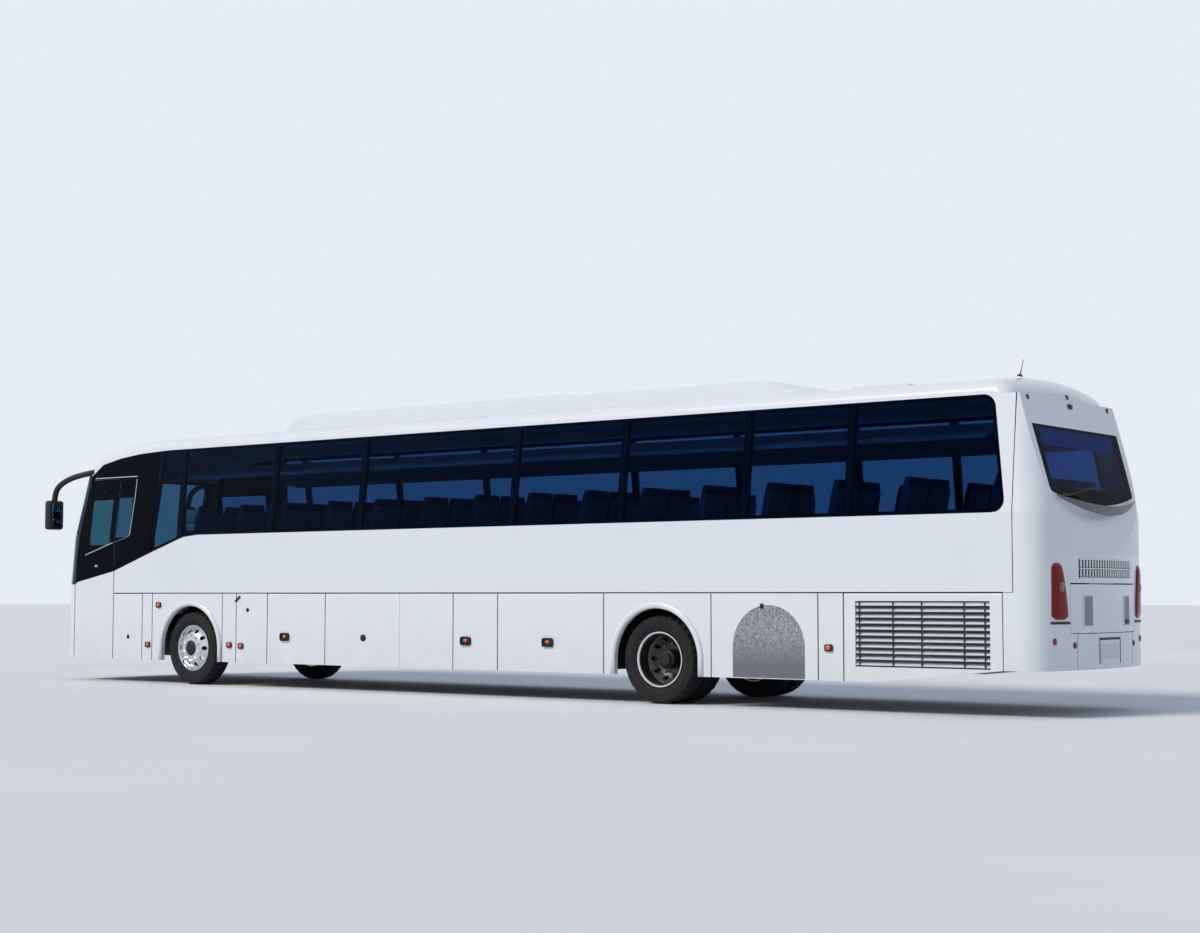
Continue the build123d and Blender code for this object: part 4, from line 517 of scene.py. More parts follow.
def laid(name, surface_point, u_span, v_span, counts, thickness, material):
    """A thin piece on a surface: surface_point(u, v) gives each grid vertex its place."""
    start_fresh()
    bpy.ops.mesh.primitive_grid_add(x_subdivisions=counts[0], y_subdivisions=counts[1], size=2)
    piece = bpy.context.object
    for vertex in piece.data.vertices:
        u = u_span[0] + (u_span[1] - u_span[0]) * (vertex.co.x + 1) / 2
        v = v_span[0] + (v_span[1] - v_span[0]) * (vertex.co.y + 1) / 2
        vertex.co = surface_point(u, v)
    modified(piece, "SOLIDIFY", thickness=thickness, offset=0.0)
    with editing():
        bpy.ops.mesh.normals_make_consistent(inside=False)
    return settle(piece, name, material)


def strips(surface, table):
    """Thin pieces from a table of name, how far out, span across, span up, counts, thickness and material."""
    return [laid(name, surface(out), *rest) for name, out, *rest in table]


def around(middle, half):
    return middle - half, middle + half


def copy_of(piece, name, matrix):
    """A copy with its own mesh, moved or mirrored by a matrix."""
    twin = piece.copy()
    twin.data = piece.data.copy()
    twin.name = name
    twin.data.transform(matrix)
    if matrix.determinant() < 0:
        twin.data.flip_normals()
    bpy.context.scene.collection.objects.link(twin)
    return twin


def joined(pieces, name):
    """Several pieces as one object, each keeping its finish."""
    start_fresh()
    for piece in pieces:
        piece.select_set(True)
    bpy.context.view_layer.objects.active = pieces[0]
    if len(pieces) > 1:
        bpy.ops.object.join()
    pieces[0].name = name
    return pieces[0]


def discard(*pieces):
    for piece in pieces:
        bpy.data.objects.remove(piece)


def ridden(piece, body):
    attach(piece, body)
    return piece


def on_sides(form, name, body, place=(0, 0, 0), sides=BOTH):
    """Copies of a left-hand form, mirrored on the right. Only the coach is one body for both sides."""
    made = []
    for side in sides:
        at = Matrix.Translation(place)
        twin = copy_of(form, name + "_" + side, at if side == "left" else MIRROR @ at)
        made.append(ridden(twin, body if body == "coach" else body + "_" + side))
    return made


print("tools ready")

# %% [markdown]
# ## Tyres
# A coach tyre is a rounded ring with four grooves round its tread and slots across its shoulders. The
# section is drawn once, bead to bead, and spun. Every third shoulder face is then pushed in for the slots.

# %% Six treaded tyres
FRONT_X, WHEEL_Y, INNER_Y = 4.587, 1.072, 0.760
GROOVES, TREAD_R, GROOVE_R = (-0.066, -0.022, 0.022, 0.066), 0.4785, 0.4665
GROOVE_HEAD, GROOVE_BED = 0.0055, 0.004  # half widths at the tread and at the bottom
SHOULDER_Y, SHOULDER_R, SPIN_STEPS, SLOT_DEPTH = (0.072, 0.122), 0.46, 96, 0.009
WALL = [(0.2873, 0.100), (0.3025, 0.1025), (0.330, 0.120), (0.362, 0.1315), (0.366, 0.1345), (0.374, 0.1345),
        (0.378, 0.1335), (0.395, 0.1352), (0.420, 0.134), (0.443, 0.129), (0.447, 0.130), (0.456, 0.1255),
        (0.465, 0.117), (0.472, 0.106), (0.4755, 0.094)]
section = [(r, -d) for r, d in WALL]
for groove in GROOVES:
    section += [(TREAD_R, groove - GROOVE_HEAD), (GROOVE_R, groove - GROOVE_BED),
                (GROOVE_R, groove + GROOVE_BED), (TREAD_R, groove + GROOVE_HEAD)]
section += [(r, d) for r, d in reversed(WALL)]
section.append(section[0])
first_tyre = turned("tyre", section, tyre_rubber, steps=SPIN_STEPS)
pick(first_tyre)
with editing(everything=False):
    bpy.ops.mesh.select_all(action="DESELECT")
for face in first_tyre.data.polygons:
    middle = face.center
    turn = int((math.atan2(middle.z, middle.x) % (2 * math.pi)) / (2 * math.pi) * SPIN_STEPS)
    outside = math.hypot(middle.x, middle.z) > SHOULDER_R
    face.select = outside and SHOULDER_Y[0] < abs(middle.y) < SHOULDER_Y[1] and turn % 3 == 0
with editing("FACE", everything=False):
    bpy.ops.mesh.extrude_region_shrink_fatten(TRANSFORM_OT_shrink_fatten={"value": -SLOT_DEPTH})
TYRES = [
    # body, piece, CAD piece, axle X, wheel Ys
    ("front_wheel_left", "tyre_front_left", FRONT_X, (WHEEL_Y,)),
    ("front_wheel_right", "tyre_front_right", FRONT_X, (-WHEEL_Y,)),
    ("rear_wheels_left", "tyres_rear_left", REAR_X, (WHEEL_Y, INNER_Y)),
    ("rear_wheels_right", "tyres_rear_right", REAR_X, (-WHEEL_Y, -INNER_Y)),
]
for body, cad_name, axle_x, places in TYRES:
    name = "treaded_" + cad_name
    copies = [copy_of(first_tyre, name, Matrix.Translation((axle_x, y, TYRE_R))) for y in places]
    piece = ridden(joined(copies, name), body)
    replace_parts(piece, cad_name)
discard(first_tyre)
print("tyre section", len(section), "points")

# %% [markdown]
# ## Wheels
# A disc wheel is a rolled rim with a pressed disc, hand holes and ten nuts. In front, a polished trim
# bulges outward. The rear twins stand back to back, so the outer one shows a deep dish with the axle's hub
# in the middle. One closed profile is spun, and a boolean takes the hand holes out.

# %% Rims, discs, nuts and hubs
RIM = [(0.298, 0.116), (0.298, 0.110), (0.290, 0.105), (0.286, 0.098), (0.286, -0.098), (0.290, -0.105),
       (0.298, -0.110), (0.298, -0.116), (0.288, -0.116), (0.276, -0.100), (0.272, -0.080), (0.272, 0.048),
       (0.252, 0.066), (0.215, 0.104), (0.178, 0.137), (0.150, 0.142), (0.100, 0.142), (0.100, 0.156),
       (0.150, 0.156), (0.186, 0.151), (0.225, 0.119), (0.252, 0.088), (0.264, 0.074), (0.271, 0.082),
       (0.277, 0.100), (0.288, 0.116), (0.298, 0.116)]
FRONT_HUB = [(0.0, 0.171), (0.060, 0.171), (0.070, 0.167), (0.092, 0.160), (0.104, 0.152), (0.105, 0.120),
             (0.105, 0.020), (0.0455, 0.020), (0.0455, 0.150), (0.0, 0.150)]
REAR_HUB = [(0.0, 0.029), (0.064, 0.029), (0.074, 0.022), (0.076, 0.0), (0.088, -0.006), (0.104, -0.020),
            (0.105, -0.210), (0.0605, -0.210), (0.0605, 0.008), (0.0, 0.008)]
NUT = [(0.0, 0.030), (0.010, 0.028), (0.0155, 0.022), (0.0165, 0.006), (0.021, 0.0), (0.0, 0.0)]
NUT_RING, HOLE_RING, HOLE_R, HOLE_Y, DRILL_LENGTH = 0.1675, 0.222, 0.027, 0.115, 0.12
TWIN_GAP = 0.0003  # the twins' discs stand back to back, this far apart


def ten_round(radius, y, start=0.0):
    """Ten places at even steps round the axle."""
    angles = [2 * math.pi * (k + start) / 10 for k in range(10)]
    return [(radius * math.cos(angle), y, radius * math.sin(angle)) for angle in angles]


def disc_wheel(name, material):
    """A rim and disc with its hand holes drilled."""
    wheel = turned(name, RIM, material)
    drills = []
    for at in ten_round(HOLE_RING, HOLE_Y):
        start_fresh()
        bpy.ops.mesh.primitive_cylinder_add(vertices=24, radius=HOLE_R, depth=DRILL_LENGTH, location=at,
                                            rotation=(math.pi / 2, 0, 0))
        drills.append(bpy.context.object)
    drill = joined(drills, "drill")
    modified(wheel, "BOOLEAN", operation="DIFFERENCE", object=drill, solver="EXACT")
    discard(drill)
    return settle(wheel, name, material)


def nuts(name, distance, material):
    places = ten_round(NUT_RING, distance, 0.5)
    return joined([turned(name, NUT, material, at, steps=6, smooth=20) for at in places], name)


inner_wheel = turned("plain_wheel", RIM, deep_rim)
outer_wheel = disc_wheel("rear_wheel", deep_rim)
front_wheel = disc_wheel("front_wheel", trim_steel)
front_nuts = nuts("front_nuts", 0.154, trim_steel)
rear_nuts = nuts("rear_nuts", -0.144, wheel_enamel)
front_hub = turned("front_hub", FRONT_HUB, hub_iron, steps=64)
rear_hub = turned("rear_hub", REAR_HUB, hub_iron, steps=64)
outer_wheel.data.transform(MIRROR)  # the outer twin's disc faces inwards, so its dish is deep
outer_wheel.data.flip_normals()
inner_wheel.data.transform(Matrix.Translation((0, INNER_Y - TWIN_GAP - WHEEL_Y, 0)))
front_set = joined([front_wheel, front_nuts, front_hub], "front_set")
rear_set = joined([outer_wheel, rear_nuts, rear_hub, inner_wheel], "rear_set")
WHEELS = ((front_set, "polished_wheel", "front_wheel", "wheel_front_", FRONT_X),
          (rear_set, "twin_wheels", "rear_wheels", "wheels_rear_", REAR_X))
for side in BOTH:
    for form, name, body, cad_name, axle_x in WHEELS:
        piece, = on_sides(form, name, body, (axle_x, WHEEL_Y, TYRE_R), (side,))
        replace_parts(piece, cad_name + side)
discard(front_set, rear_set)
print("wheels done")

# %% [markdown]
# ## Latches and marker lamps along the side
# Most bay doors have a black latch plate with a sunk lock, the longest has a plain knob, and the locker and
# the filler have buttons. Small amber markers sit along the skirt, each on a black base that shows mostly
# behind its lens as painted shade of the marker's rear side. Each is modelled once and copied from a table.

# %% Latches, markers and locks
SIDE_Y = 1.25
DOME = [(0.0, 1.0), (0.5, 0.92), (0.85, 0.55), (1.0, 0.0), (0.0, 0.0)]  # shares of radius and height


def rounded_plate(name, half_x, half_z, depth, corner, material):
    """A plate on the side, rounded at its four corners, with a softened front edge."""
    piece = cube_between((-half_x, 0, -half_z), (half_x, depth, half_z))
    for edge in piece.data.edges:
        ends = [piece.data.vertices[i].co for i in edge.vertices]
        edge.select = abs(ends[0].y - ends[1].y) > depth / 2
    for face in piece.data.polygons:
        face.select = False
    with editing("EDGE", everything=False):
        bpy.ops.mesh.bevel(offset=corner, segments=5, affect="EDGES")
    modified(piece, "BEVEL", width=0.002, segments=2, limit_method="ANGLE", angle_limit=math.radians(50))
    return settle(piece, name, material)


def dome(name, radius, height, centre, material, stretch=1.0):
    """A low round lens on the side, stretched along X."""
    piece = turned(name, [(radius * r, height * d) for r, d in DOME], material, steps=32)
    piece.data.transform(Matrix.Translation(centre) @ Matrix.Scale(stretch, 4, (1, 0, 0)))
    return piece


latch = joined([rounded_plate("latch_plate", 0.076, 0.050, 0.008, 0.026, black_plastic),
                dome("latch_lock", 0.020, 0.007, (0.010, 0.008, 0.006), amber_lens, 1.5)], "latch")
# The marker's lens sits forward on its black base, so the black behind it is partly base and partly painted
# shade of the marker's rear side
marker = joined([rounded_plate("marker_base_with_painted_shade", 0.046, 0.036, 0.006, 0.020, black_plastic),
                 dome("marker_lens", 0.031, 0.016, (0.010, 0.006, 0.002), amber_lens, 1.1)], "marker")
button = dome("button", 0.030, 0.008, (0, 0, 0), black_plastic)
knob = dome("knob", 0.044, 0.012, (0, 0, 0), black_plastic, 1.15)
SIDE_FITTINGS = [
    # body, piece, what it is, X, Z, sides that have it
    ("locker_door", "locker_lock", button, 5.848, 0.613, ("left",)),
    ("bay_door_1", "bay_1_latch", latch, 2.777, 0.647, BOTH),
    ("bay_door_2", "bay_2_latch", knob, 1.407, 0.653, BOTH),
    ("bay_door_3", "bay_3_latch", latch, -0.266, 0.640, ("left",)),
    ("bay_door_4", "bay_4_latch", latch, -1.499, 0.641, BOTH),
    ("coach", "slip_marker", marker, 5.429, 0.512, BOTH),
    ("coach", "arch_indicator", marker, 5.215, 1.041, BOTH),
    ("coach", "post_marker", marker, 3.810, 0.530, BOTH),
    ("coach", "small_marker", marker, 3.591, 0.521, BOTH),
    ("coach", "filler_button", button, 3.476, 0.982, BOTH),
    ("coach", "narrow_marker", marker, -5.168, 0.640, BOTH),
]
for body, name, form, x, z, sides in SIDE_FITTINGS:
    on_sides(form, name, body, (x, SIDE_Y, z), sides)
discard(latch, marker, button, knob)

# The longest bay door is skinned with two sheets, and a thin strip covers their joint
BAY_FOOT, BAY_HEAD = 0.312, 1.191
strip = block("bay_2_strip_left", (0.798, SIDE_Y - 0.001, BAY_FOOT), (0.802, SIDE_Y + 0.0012, BAY_HEAD),
              grey_plastic, round_by=0.0004)
ridden(strip, "bay_door_2_left")
print("side fittings", len(SIDE_FITTINGS))

# %% [markdown]
# ## Dark blades in the engine doors
# Between the pressed slats of an engine door sit dark blades that keep the dirt out, and five struts
# stiffen them. They are slim blocks between the slats, modelled once and copied to both doors, so they open
# with them.

# %% Blades and struts of the engine doors
GRILLE_X, GRILLE_Z, SLATS = (-6.956, -5.474), (0.460, 1.115), 11
BLADE_Y, BLADE_DROP, BLADE_HALF = (1.2425, 1.2485), 0.024, 0.009
STRUT_Y, STRUT_HALF, STRUTS_X = (1.2405, 1.2480), 0.007, (-6.90, -6.68, -6.22, -5.90, -5.52)
GRILLE_GAP = 0.002
pitch = (GRILLE_Z[1] - GRILLE_Z[0]) / SLATS
blades = []
for k in range(SLATS):
    low_z, high_z = around(GRILLE_Z[0] + pitch * (k + 0.5) - BLADE_DROP, BLADE_HALF)
    blades.append(block("blade", (GRILLE_X[0] + GRILLE_GAP, BLADE_Y[0], low_z),
                        (GRILLE_X[1] - GRILLE_GAP, BLADE_Y[1], high_z), rubber_seal, 0.002))
for x in STRUTS_X:
    blades.append(block("strut", (x - STRUT_HALF, STRUT_Y[0], GRILLE_Z[0] + GRILLE_GAP),
                        (x + STRUT_HALF, STRUT_Y[1], GRILLE_Z[1] - GRILLE_GAP), rubber_seal, 0.002))
screen = joined(blades, "engine_blades")
on_sides(screen, "engine_blades", "engine_door")
discard(screen)
print("engine door blades:", SLATS)

# %% [markdown]
# ## Wheel arch lips
# Each arch has a rolled lip, as sheet metal gets so that its edge is safe and stiff. Its section is spun
# about the axle, cut in half at the axle's height, and the two cut ends are extruded down to the skirt.

# %% Rolled lips of the wheel arches
ARCH_R, FLARE_R, SKIRT_Z = 0.556, 0.616, 0.310
LIP = [(ARCH_R - 0.002, -0.012), (ARCH_R - 0.004, 0.004), (ARCH_R + 0.004, 0.018), (ARCH_R + 0.018, 0.0255),
       (ARCH_R + 0.036, 0.0265), (ARCH_R + 0.052, 0.022), (FLARE_R - 0.001, 0.0145), (FLARE_R - 0.003, 0.010),
       (ARCH_R + 0.012, 0.010), (ARCH_R + 0.004, -0.012), (ARCH_R - 0.002, -0.012)]
lip = turned("lip", LIP, white_paint)
pick(lip)
with editing():
    bpy.ops.mesh.bisect(plane_co=(0, 0, 0), plane_no=(0, 0, 1), use_fill=True, clear_inner=True)
    bpy.ops.mesh.select_all(action="DESELECT")
for face in lip.data.polygons:
    face.select = face.normal.z < -0.99 and abs(face.center.z) < 1e-4
with editing("FACE", everything=False):
    bpy.ops.mesh.extrude_region_move(TRANSFORM_OT_translate={"value": (0, 0, SKIRT_Z - TYRE_R)})
for name, x in (("front_arch_lip", FRONT_X), ("rear_arch_lip", REAR_X)):
    on_sides(lip, name, "coach", (x, SIDE_Y, TYRE_R))
discard(lip)
print("arch lips")

# %% [markdown]
# ## The grey patch, the small latch and the door's handle
# Behind the rear wheel the photograph shows a grey plate with a round top, and by the front wheel a
# slanting latch. The door has a lever handle, and a bright moulding runs along the foot of its glass.

# %% Patch plate, slanting latch, door handle and mouldings
PATCH_X, PATCH_HALF, PATCH_FOOT, PATCH_HEAD = -4.440, 0.441, 0.318, 1.071
PATCH_WAIST = PATCH_HEAD - PATCH_HALF  # the round top ends here, and straight sides go down
start_fresh()
bpy.ops.mesh.primitive_circle_add(vertices=64, radius=PATCH_HALF, fill_type="NGON",
                                  location=(PATCH_X, SIDE_Y, PATCH_WAIST), rotation=(math.pi / 2, 0, 0))
patch = bpy.context.object
bpy.ops.object.transform_apply(location=True, rotation=True, scale=True)
for vertex in patch.data.vertices:
    below = PATCH_WAIST - vertex.co.z
    if below > 0.001:
        vertex.co.x = PATCH_X + math.copysign(PATCH_HALF, vertex.co.x - PATCH_X)
        vertex.co.z = PATCH_WAIST - below / PATCH_HALF * (PATCH_WAIST - PATCH_FOOT)
modified(patch, "SOLIDIFY", thickness=0.004, offset=0.0)
# Primer brushed on bare metal shows its strokes, and it is darker low down
STROKE_MM, DARK_FROM, DARK_FULL = 24.0, 0.75, 0.45
primer_grey = finish("brushed_primer_patch", "#8D9298", 0.7)
brush = {"Scale": 1000 / STROKE_MM / WAVE_TURN, "Distortion": 14.0, "Detail": 4.0, "Detail Scale": 3.0}
strokes = node(primer_grey, "TexWave", {"Vector": place_of(primer_grey), **brush}, "Fac", bands_direction="X")
bare = coloured(primer_grey, strokes, "#6A6E73", "#A0A4A8")
low_down = node(primer_grey, "MapRange", {"Value": axes_of(primer_grey)["Z"], "From Min": DARK_FROM,
                                          "From Max": DARK_FULL})
coloured(primer_grey, low_down, bare, "#65696E")
ridden(settle(patch, "patch_plate_left", primer_grey), "coach")
patch_latch = block("patch_latch_left", (-4.385, SIDE_Y, 1.035), (-4.345, 1.264, 1.085), black_plastic,
                    0.005, 3)
ridden(patch_latch, "coach")

SLANT_PLACE, SLANT = (3.659, 0, 1.123), math.radians(38)
slant = block("slant_latch_left", (-0.055, SIDE_Y, -0.012), (0.055, 1.266, 0.012), black_plastic, 0.004, 3)
slant.data.transform(Matrix.Translation(SLANT_PLACE) @ Matrix.Rotation(SLANT, 4, "Y"))
ridden(slant, "coach")

handle_base = block("handle_base", (6.500, SIDE_Y, 1.545), (6.575, 1.256, 1.600), black_plastic, 0.0025, 3)
handle_bar = block("handle_bar", (6.505, 1.262, 1.560), (6.565, 1.272, 1.582), trim_steel, 0.004, 3)
handle_foot = block("handle_foot", (6.552, 1.254, 1.564), (6.566, 1.266, 1.578), trim_steel, 0.002, 2)
ridden(joined([handle_base, handle_bar, handle_foot], "door_handle"), "entry_door")

SILL_TRIM = [(6.795, 1.2515, 1.722), (6.500, 1.2515, 1.802), (6.200, 1.2515, 1.885)]
REAR_TRIM = [(6.150, 1.2515, 1.899), (5.930, 1.2515, 1.950), (5.845, 1.2475, 1.992), (5.830, 1.2185, 2.240),
             (5.815, 1.1865, 2.500), (5.812, 1.1575, 2.755)]
HEAD_TRIM = [(6.720, 1.1535, 2.785), (6.160, 1.1535, 2.785), (5.812, 1.1535, 2.785)]
for name, points, across, body in (("door_sill_moulding", SILL_TRIM, (0, 0, 0.010), "entry_door"),
                                   ("quarter_light_moulding", REAR_TRIM, (0.010, 0, 0), "coach"),
                                   ("door_head_moulding", HEAD_TRIM, (0, -0.0012, 0.010), "coach")):
    ridden(bar_along(name, points, across, trim_steel), body)
print("patch, latches, handle and mouldings")

# %% [markdown]
# ## The tail
# The rear is a shallow curve in plan and leans in above the waist. A small function gives its surface, so
# that ribs, plates and trims can be laid on it: a two-row vent, recesses in the lid, a blank plate and a
# trim that curves like a smile. Tables hold what is laid.

# %% Surface of the tail, and what is laid on it
TAIL_X, TAIL_BOW, TAIL_WAIST, TAIL_LEAN = -7.63, 4.352, 1.97, 0.11
RIBS, RIBS_HALF, RIB_HALF, RIB_RISE = 22, 0.585, 0.013, 0.070
LID_FOOT, LID_HEAD, LID_HALF, RIM_HALF = 0.875, 1.165, 0.085, 0.006
BACKWARDS, FORWARDS, RAY_FROM = (-1, 0, 0), (1, 0, 0), 9.0


def tail_x(y, z):
    bow = TAIL_BOW - math.sqrt(TAIL_BOW ** 2 - y ** 2)
    return TAIL_X + bow + TAIL_LEAN * max(0.0, z - TAIL_WAIST)


def on_tail(out):
    return lambda u, v: Vector((tail_x(u, v) - out, u, v))


# Each row says: name, how far out, span across, span up, counts, thickness, material
vent = [("vent_back", 0.001, (-0.62, 0.62), (1.335, 1.525), (16, 2), 0.001, black_plastic)]
for foot in (1.350, 1.442):
    for k in range(RIBS):
        y = -RIBS_HALF + 2 * RIBS_HALF * k / (RIBS - 1)
        vent.append(("vent_rib", 0.003, around(y, RIB_HALF), (foot, foot + RIB_RISE), (2, 2), 0.004,
                     white_paint))
for z in (1.338, 1.430, 1.520):
    vent.append(("vent_rail", 0.003, (-0.61, 0.61), around(z, RIM_HALF), (16, 2), 0.005, white_paint))
lid = []
for y in (-0.46, 0.46):
    lid.append(("lid_recess", 0.0005, around(y, LID_HALF), (LID_FOOT, LID_HEAD), (4, 4), 0.002, grey_plastic))
    for edge in around(y, LID_HALF):
        lid.append(("lid_rim", 0.004, around(edge, RIM_HALF), (0.87, 1.17), (2, 4), 0.008, white_paint))
    for edge in (0.872, 1.168):
        lid.append(("lid_rim", 0.004, around(y, LID_HALF + RIM_HALF), around(edge, RIM_HALF), (4, 2), 0.008,
                    white_paint))
lid.append(("lid_handle", 0.009, (-0.515, -0.405), (0.895, 0.925), (4, 2), 0.014, black_plastic))
plate = [("plate_bed", 0.001, (-0.25, 0.25), (0.505, 0.755), (6, 3), 0.003, white_paint),
         ("blank_plate", 0.003, (-0.205, 0.205), (0.545, 0.700), (6, 3), 0.002, plate_enamel),
         ("plate_lamp", 0.003, (-0.24, 0.24), (0.735, 0.757), (8, 2), 0.005, black_plastic)]
for y in (-0.245, 0.245):
    plate.append(("plate_edge", 0.003, around(y, 0.005), (0.505, 0.755), (2, 3), 0.005, rubber_seal))
for name, body, table in (("tail_vent", "coach", vent), ("engine_lid_trims", "engine_lid", lid),
                          ("plate_recess", "coach", plate)):
    ridden(joined(strips(on_tail, table), name), body)


def smile_point(u, v):
    """A trim under the rear window: its foot and its head both rise towards the corners."""
    rise = (u / 0.985) ** 2
    foot, head = 1.955 + 0.19 * rise, 2.052 + 0.10 * rise
    return Vector((tail_x(u, foot) - 0.003, u, foot + (head - foot) * v))


smile = laid("smile_trim", smile_point, (-0.93, 0.93), (0, 1), (24, 3), 0.004, smoke_plastic)
ridden(smile, "coach")
print("laid on the tail:", len(vent) + len(lid) + len(plate) + 1)

# %% [markdown]
# ## Lamps, camera and wiper of the tail
# Lenses are laid on the tail as well, and round lamps are turned. Where the cap's edges are rounded, a ray
# finds the true surface.

# %% Lamps, reflectors, camera and wiper of the tail
def lamp_point(side, u, v):
    """A lens that is narrower and rounder at its top: u runs from its inner to its outer edge, v up."""
    end = max(0.0, abs(v - 0.5) - 0.42) / 0.08
    inner, outer = 0.805 + 0.10 * v ** 1.6, 1.060 - 0.012 * v
    middle, half = (inner + outer) / 2, (outer - inner) / 2 * math.sqrt(max(0.0, 1 - 0.75 * end ** 2))
    y, z = middle + half * (2 * u - 1), 0.940 + 0.535 * v
    out = 0.0035 + 0.022 * (1 - (2 * u - 1) ** 4) * (1 - (2 * v - 1) ** 8)
    return Vector((tail_x(y, z) - out, side * y, z))


def met(cad_name, way, y, z, otherwise):
    """X where a line along X, from outside, first meets a CAD piece: its true surface, rounded edges too."""
    start = Vector((-way[0] * RAY_FROM, y, z))
    found, place, _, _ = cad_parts[cad_name].ray_cast(start, Vector(way))
    return place.x if found else otherwise(y, z)


def pivot(name, shoulder, centre, axis):
    """The cap that a wiper turns on."""
    profile = [(0.0, 0.030), (0.016, 0.028), (0.022, shoulder), (0.024, 0.0), (0.0, 0.0)]
    return turned(name, profile, black_plastic, centre, axis, steps=24)


ROUND_LAMP = [(0.0, 0.012), (0.040, 0.010), (0.052, 0.005), (0.056, 0.0), (0.0, 0.0)]
HIGH_LAMP = [(0.0, 0.016), (0.024, 0.013), (0.032, 0.006), (0.034, -0.02), (0.0, -0.02)]
REFLECTORS = ((1.01, 0.73, 0.034), (0.70, 0.69, 0.032))  # Y, Z, radius
HIGH_LAMPS = ((0.94, 3.085), (-0.94, 3.085), (0.0, 3.150))  # Y, Z
CAMERA_HALF, CAMERA_Y, CAMERA_FOOT, CAMERA_HEAD = 0.020, 0.040, 3.035, 3.085
tail_small = []
for side in (1, -1):
    tail_small.append(laid("tail_lens", partial(lamp_point, side), (0, 1), (0, 1), (12, 20), 0.004, red_lens))
    for y, z, r in REFLECTORS:
        profile = [(0.0, 0.010), (r * 0.6, 0.009), (r * 0.92, 0.006), (r, 0.0), (0.0, 0.0)]
        at = (tail_x(y, z), side * y, z)
        tail_small.append(turned("reflector", profile, red_lens, at, BACKWARDS, steps=32))
    at = (tail_x(0.93, 1.25) - 0.022, side * 0.925, 1.25)
    tail_small.append(turned("clear_round", ROUND_LAMP, clear_lens, at, BACKWARDS, steps=32))
    tail_small.append(laid("lamp_step", lambda u, v: Vector((tail_x(u, 0.9) - 0.006, side * u, v)),
                           (0.79, 1.07), (0.895, 0.918), (6, 2), 0.010, black_plastic))
for y, z in HIGH_LAMPS:
    at = (met("rear_cap", FORWARDS, y, z, tail_x) + 0.006, y, z)
    tail_small.append(turned("high_lamp", HIGH_LAMP, red_lens, at, BACKWARDS, steps=24))
back_x, front_x = around(met("rear_cap", FORWARDS, 0.0, 3.06, tail_x), CAMERA_HALF)
tail_small.append(block("rear_camera", (back_x, -CAMERA_Y, CAMERA_FOOT), (front_x, CAMERA_Y, CAMERA_HEAD),
                        black_plastic, 0.010, 3))
tail_small += strips(on_tail, [("tail_seam", 0.0, around(y, 0.002), (0.47, 0.795), (2, 4), 0.002, rubber_seal)
                               for y in (-0.66, 0.66)])
ridden(joined(tail_small, "tail_small_parts"), "coach")

WIPER_Y, WIPER_Z = 0.80, 2.13
rear_wiper = [
    pivot("wiper_pivot", 0.020, (tail_x(WIPER_Y, WIPER_Z) + 0.01, WIPER_Y, WIPER_Z), BACKWARDS),
    laid("wiper_arm", lambda u, v: Vector((tail_x(u, 2.2) - 0.020, u, WIPER_Z + (WIPER_Y - u) * 0.18 + v)),
         (0.28, WIPER_Y), (-0.007, 0.007), (8, 2), 0.006, black_plastic),
    laid("wiper_blade", lambda u, v: Vector((tail_x(u, 2.2) - 0.010, u, 2.185 + (WIPER_Y - u) * 0.05 + v)),
         (0.02, 0.62), (-0.006, 0.006), (12, 2), 0.010, rubber_seal)]
ridden(joined(rear_wiper, "rear_wiper"), "coach")
print("tail trims")

# %% [markdown]
# ## The nose
# The photograph doesn't show the nose, so it gets what such a coach has: lamp bowls behind the lenses, a
# blank plate, a dark lower grille and two long wipers.

# %% Trims of the nose
NOSE_X, NOSE_BOW, LEAN_FROM, NOSE_WAIST = 7.37, 6.044, 1.25, 1.97
BARS, BAR_FOOT, BAR_STEP, BAR_HALF = 7, 0.420, 0.026, 0.007


def nose_x(y, z):
    """The nose's X at a place: bowed in plan, and leaning back in two slopes."""
    back = 0.0
    if z > LEAN_FROM:
        back = 0.08 * min(1.0, (z - LEAN_FROM) / (NOSE_WAIST - LEAN_FROM)) + 0.19 * max(0.0, z - NOSE_WAIST)
    return NOSE_X - (NOSE_BOW - math.sqrt(NOSE_BOW ** 2 - y ** 2)) - back


def on_nose(out):
    return lambda u, v: Vector((nose_x(u, v) + out, u, v))


nose = []
for k in range(BARS):
    rise = around(BAR_FOOT + BAR_STEP * k, BAR_HALF)
    nose.append(("grille_bar", 0.004, (-0.55, 0.55), rise, (16, 2), 0.008, black_plastic))
nose += [("grille_back", 0.001, (-0.57, 0.57), (0.405, 0.590), (16, 3), 0.001, rubber_seal),
         ("front_plate", 0.008, (-0.26, 0.26), (0.62, 0.73), (8, 2), 0.003, grey_plastic),
         ("waist_line", 0.003, (-0.95, 0.95), (1.160, 1.172), (20, 2), 0.005, rubber_seal)]
ridden(joined(strips(on_nose, nose), "nose_trims"), "coach")

BOWL = [(0.0, -0.012), (0.022, -0.010), (0.046, -0.003), (0.062, 0.007), (0.068, 0.014), (0.074, 0.014),
        (0.076, 0.006), (0.074, -0.014), (0.0, -0.014)]
BULB = [(0.0, 0.014), (0.012, 0.012), (0.019, 0.006), (0.022, -0.004), (0.024, -0.010), (0.0, -0.010)]
COVER = [(0.0, 0.022), (0.030, 0.020), (0.054, 0.017), (0.069, 0.0135), (0.069, 0.0120), (0.030, 0.0175),
         (0.0, 0.0195)]
LAMP_Z, LAMPS = 0.865, ((0.800, clear_lens), (0.960, amber_lens))  # the outer lamp is the indicator
bowls, covers, wipers = [], [], []
for side in (1, -1):
    for y, bulb_lens in LAMPS:
        at = (met("headlamps", BACKWARDS, side * y, LAMP_Z, nose_x), side * y, LAMP_Z)
        bowls.append(turned("lamp_bowl", BOWL, lamp_mirror, at, FORWARDS, steps=40))
        bowls.append(turned("lamp_bulb", BULB, bulb_lens, at, FORWARDS, steps=24))
        covers.append(turned("lamp_cover", COVER, clear_lens, at, FORWARDS, steps=40))
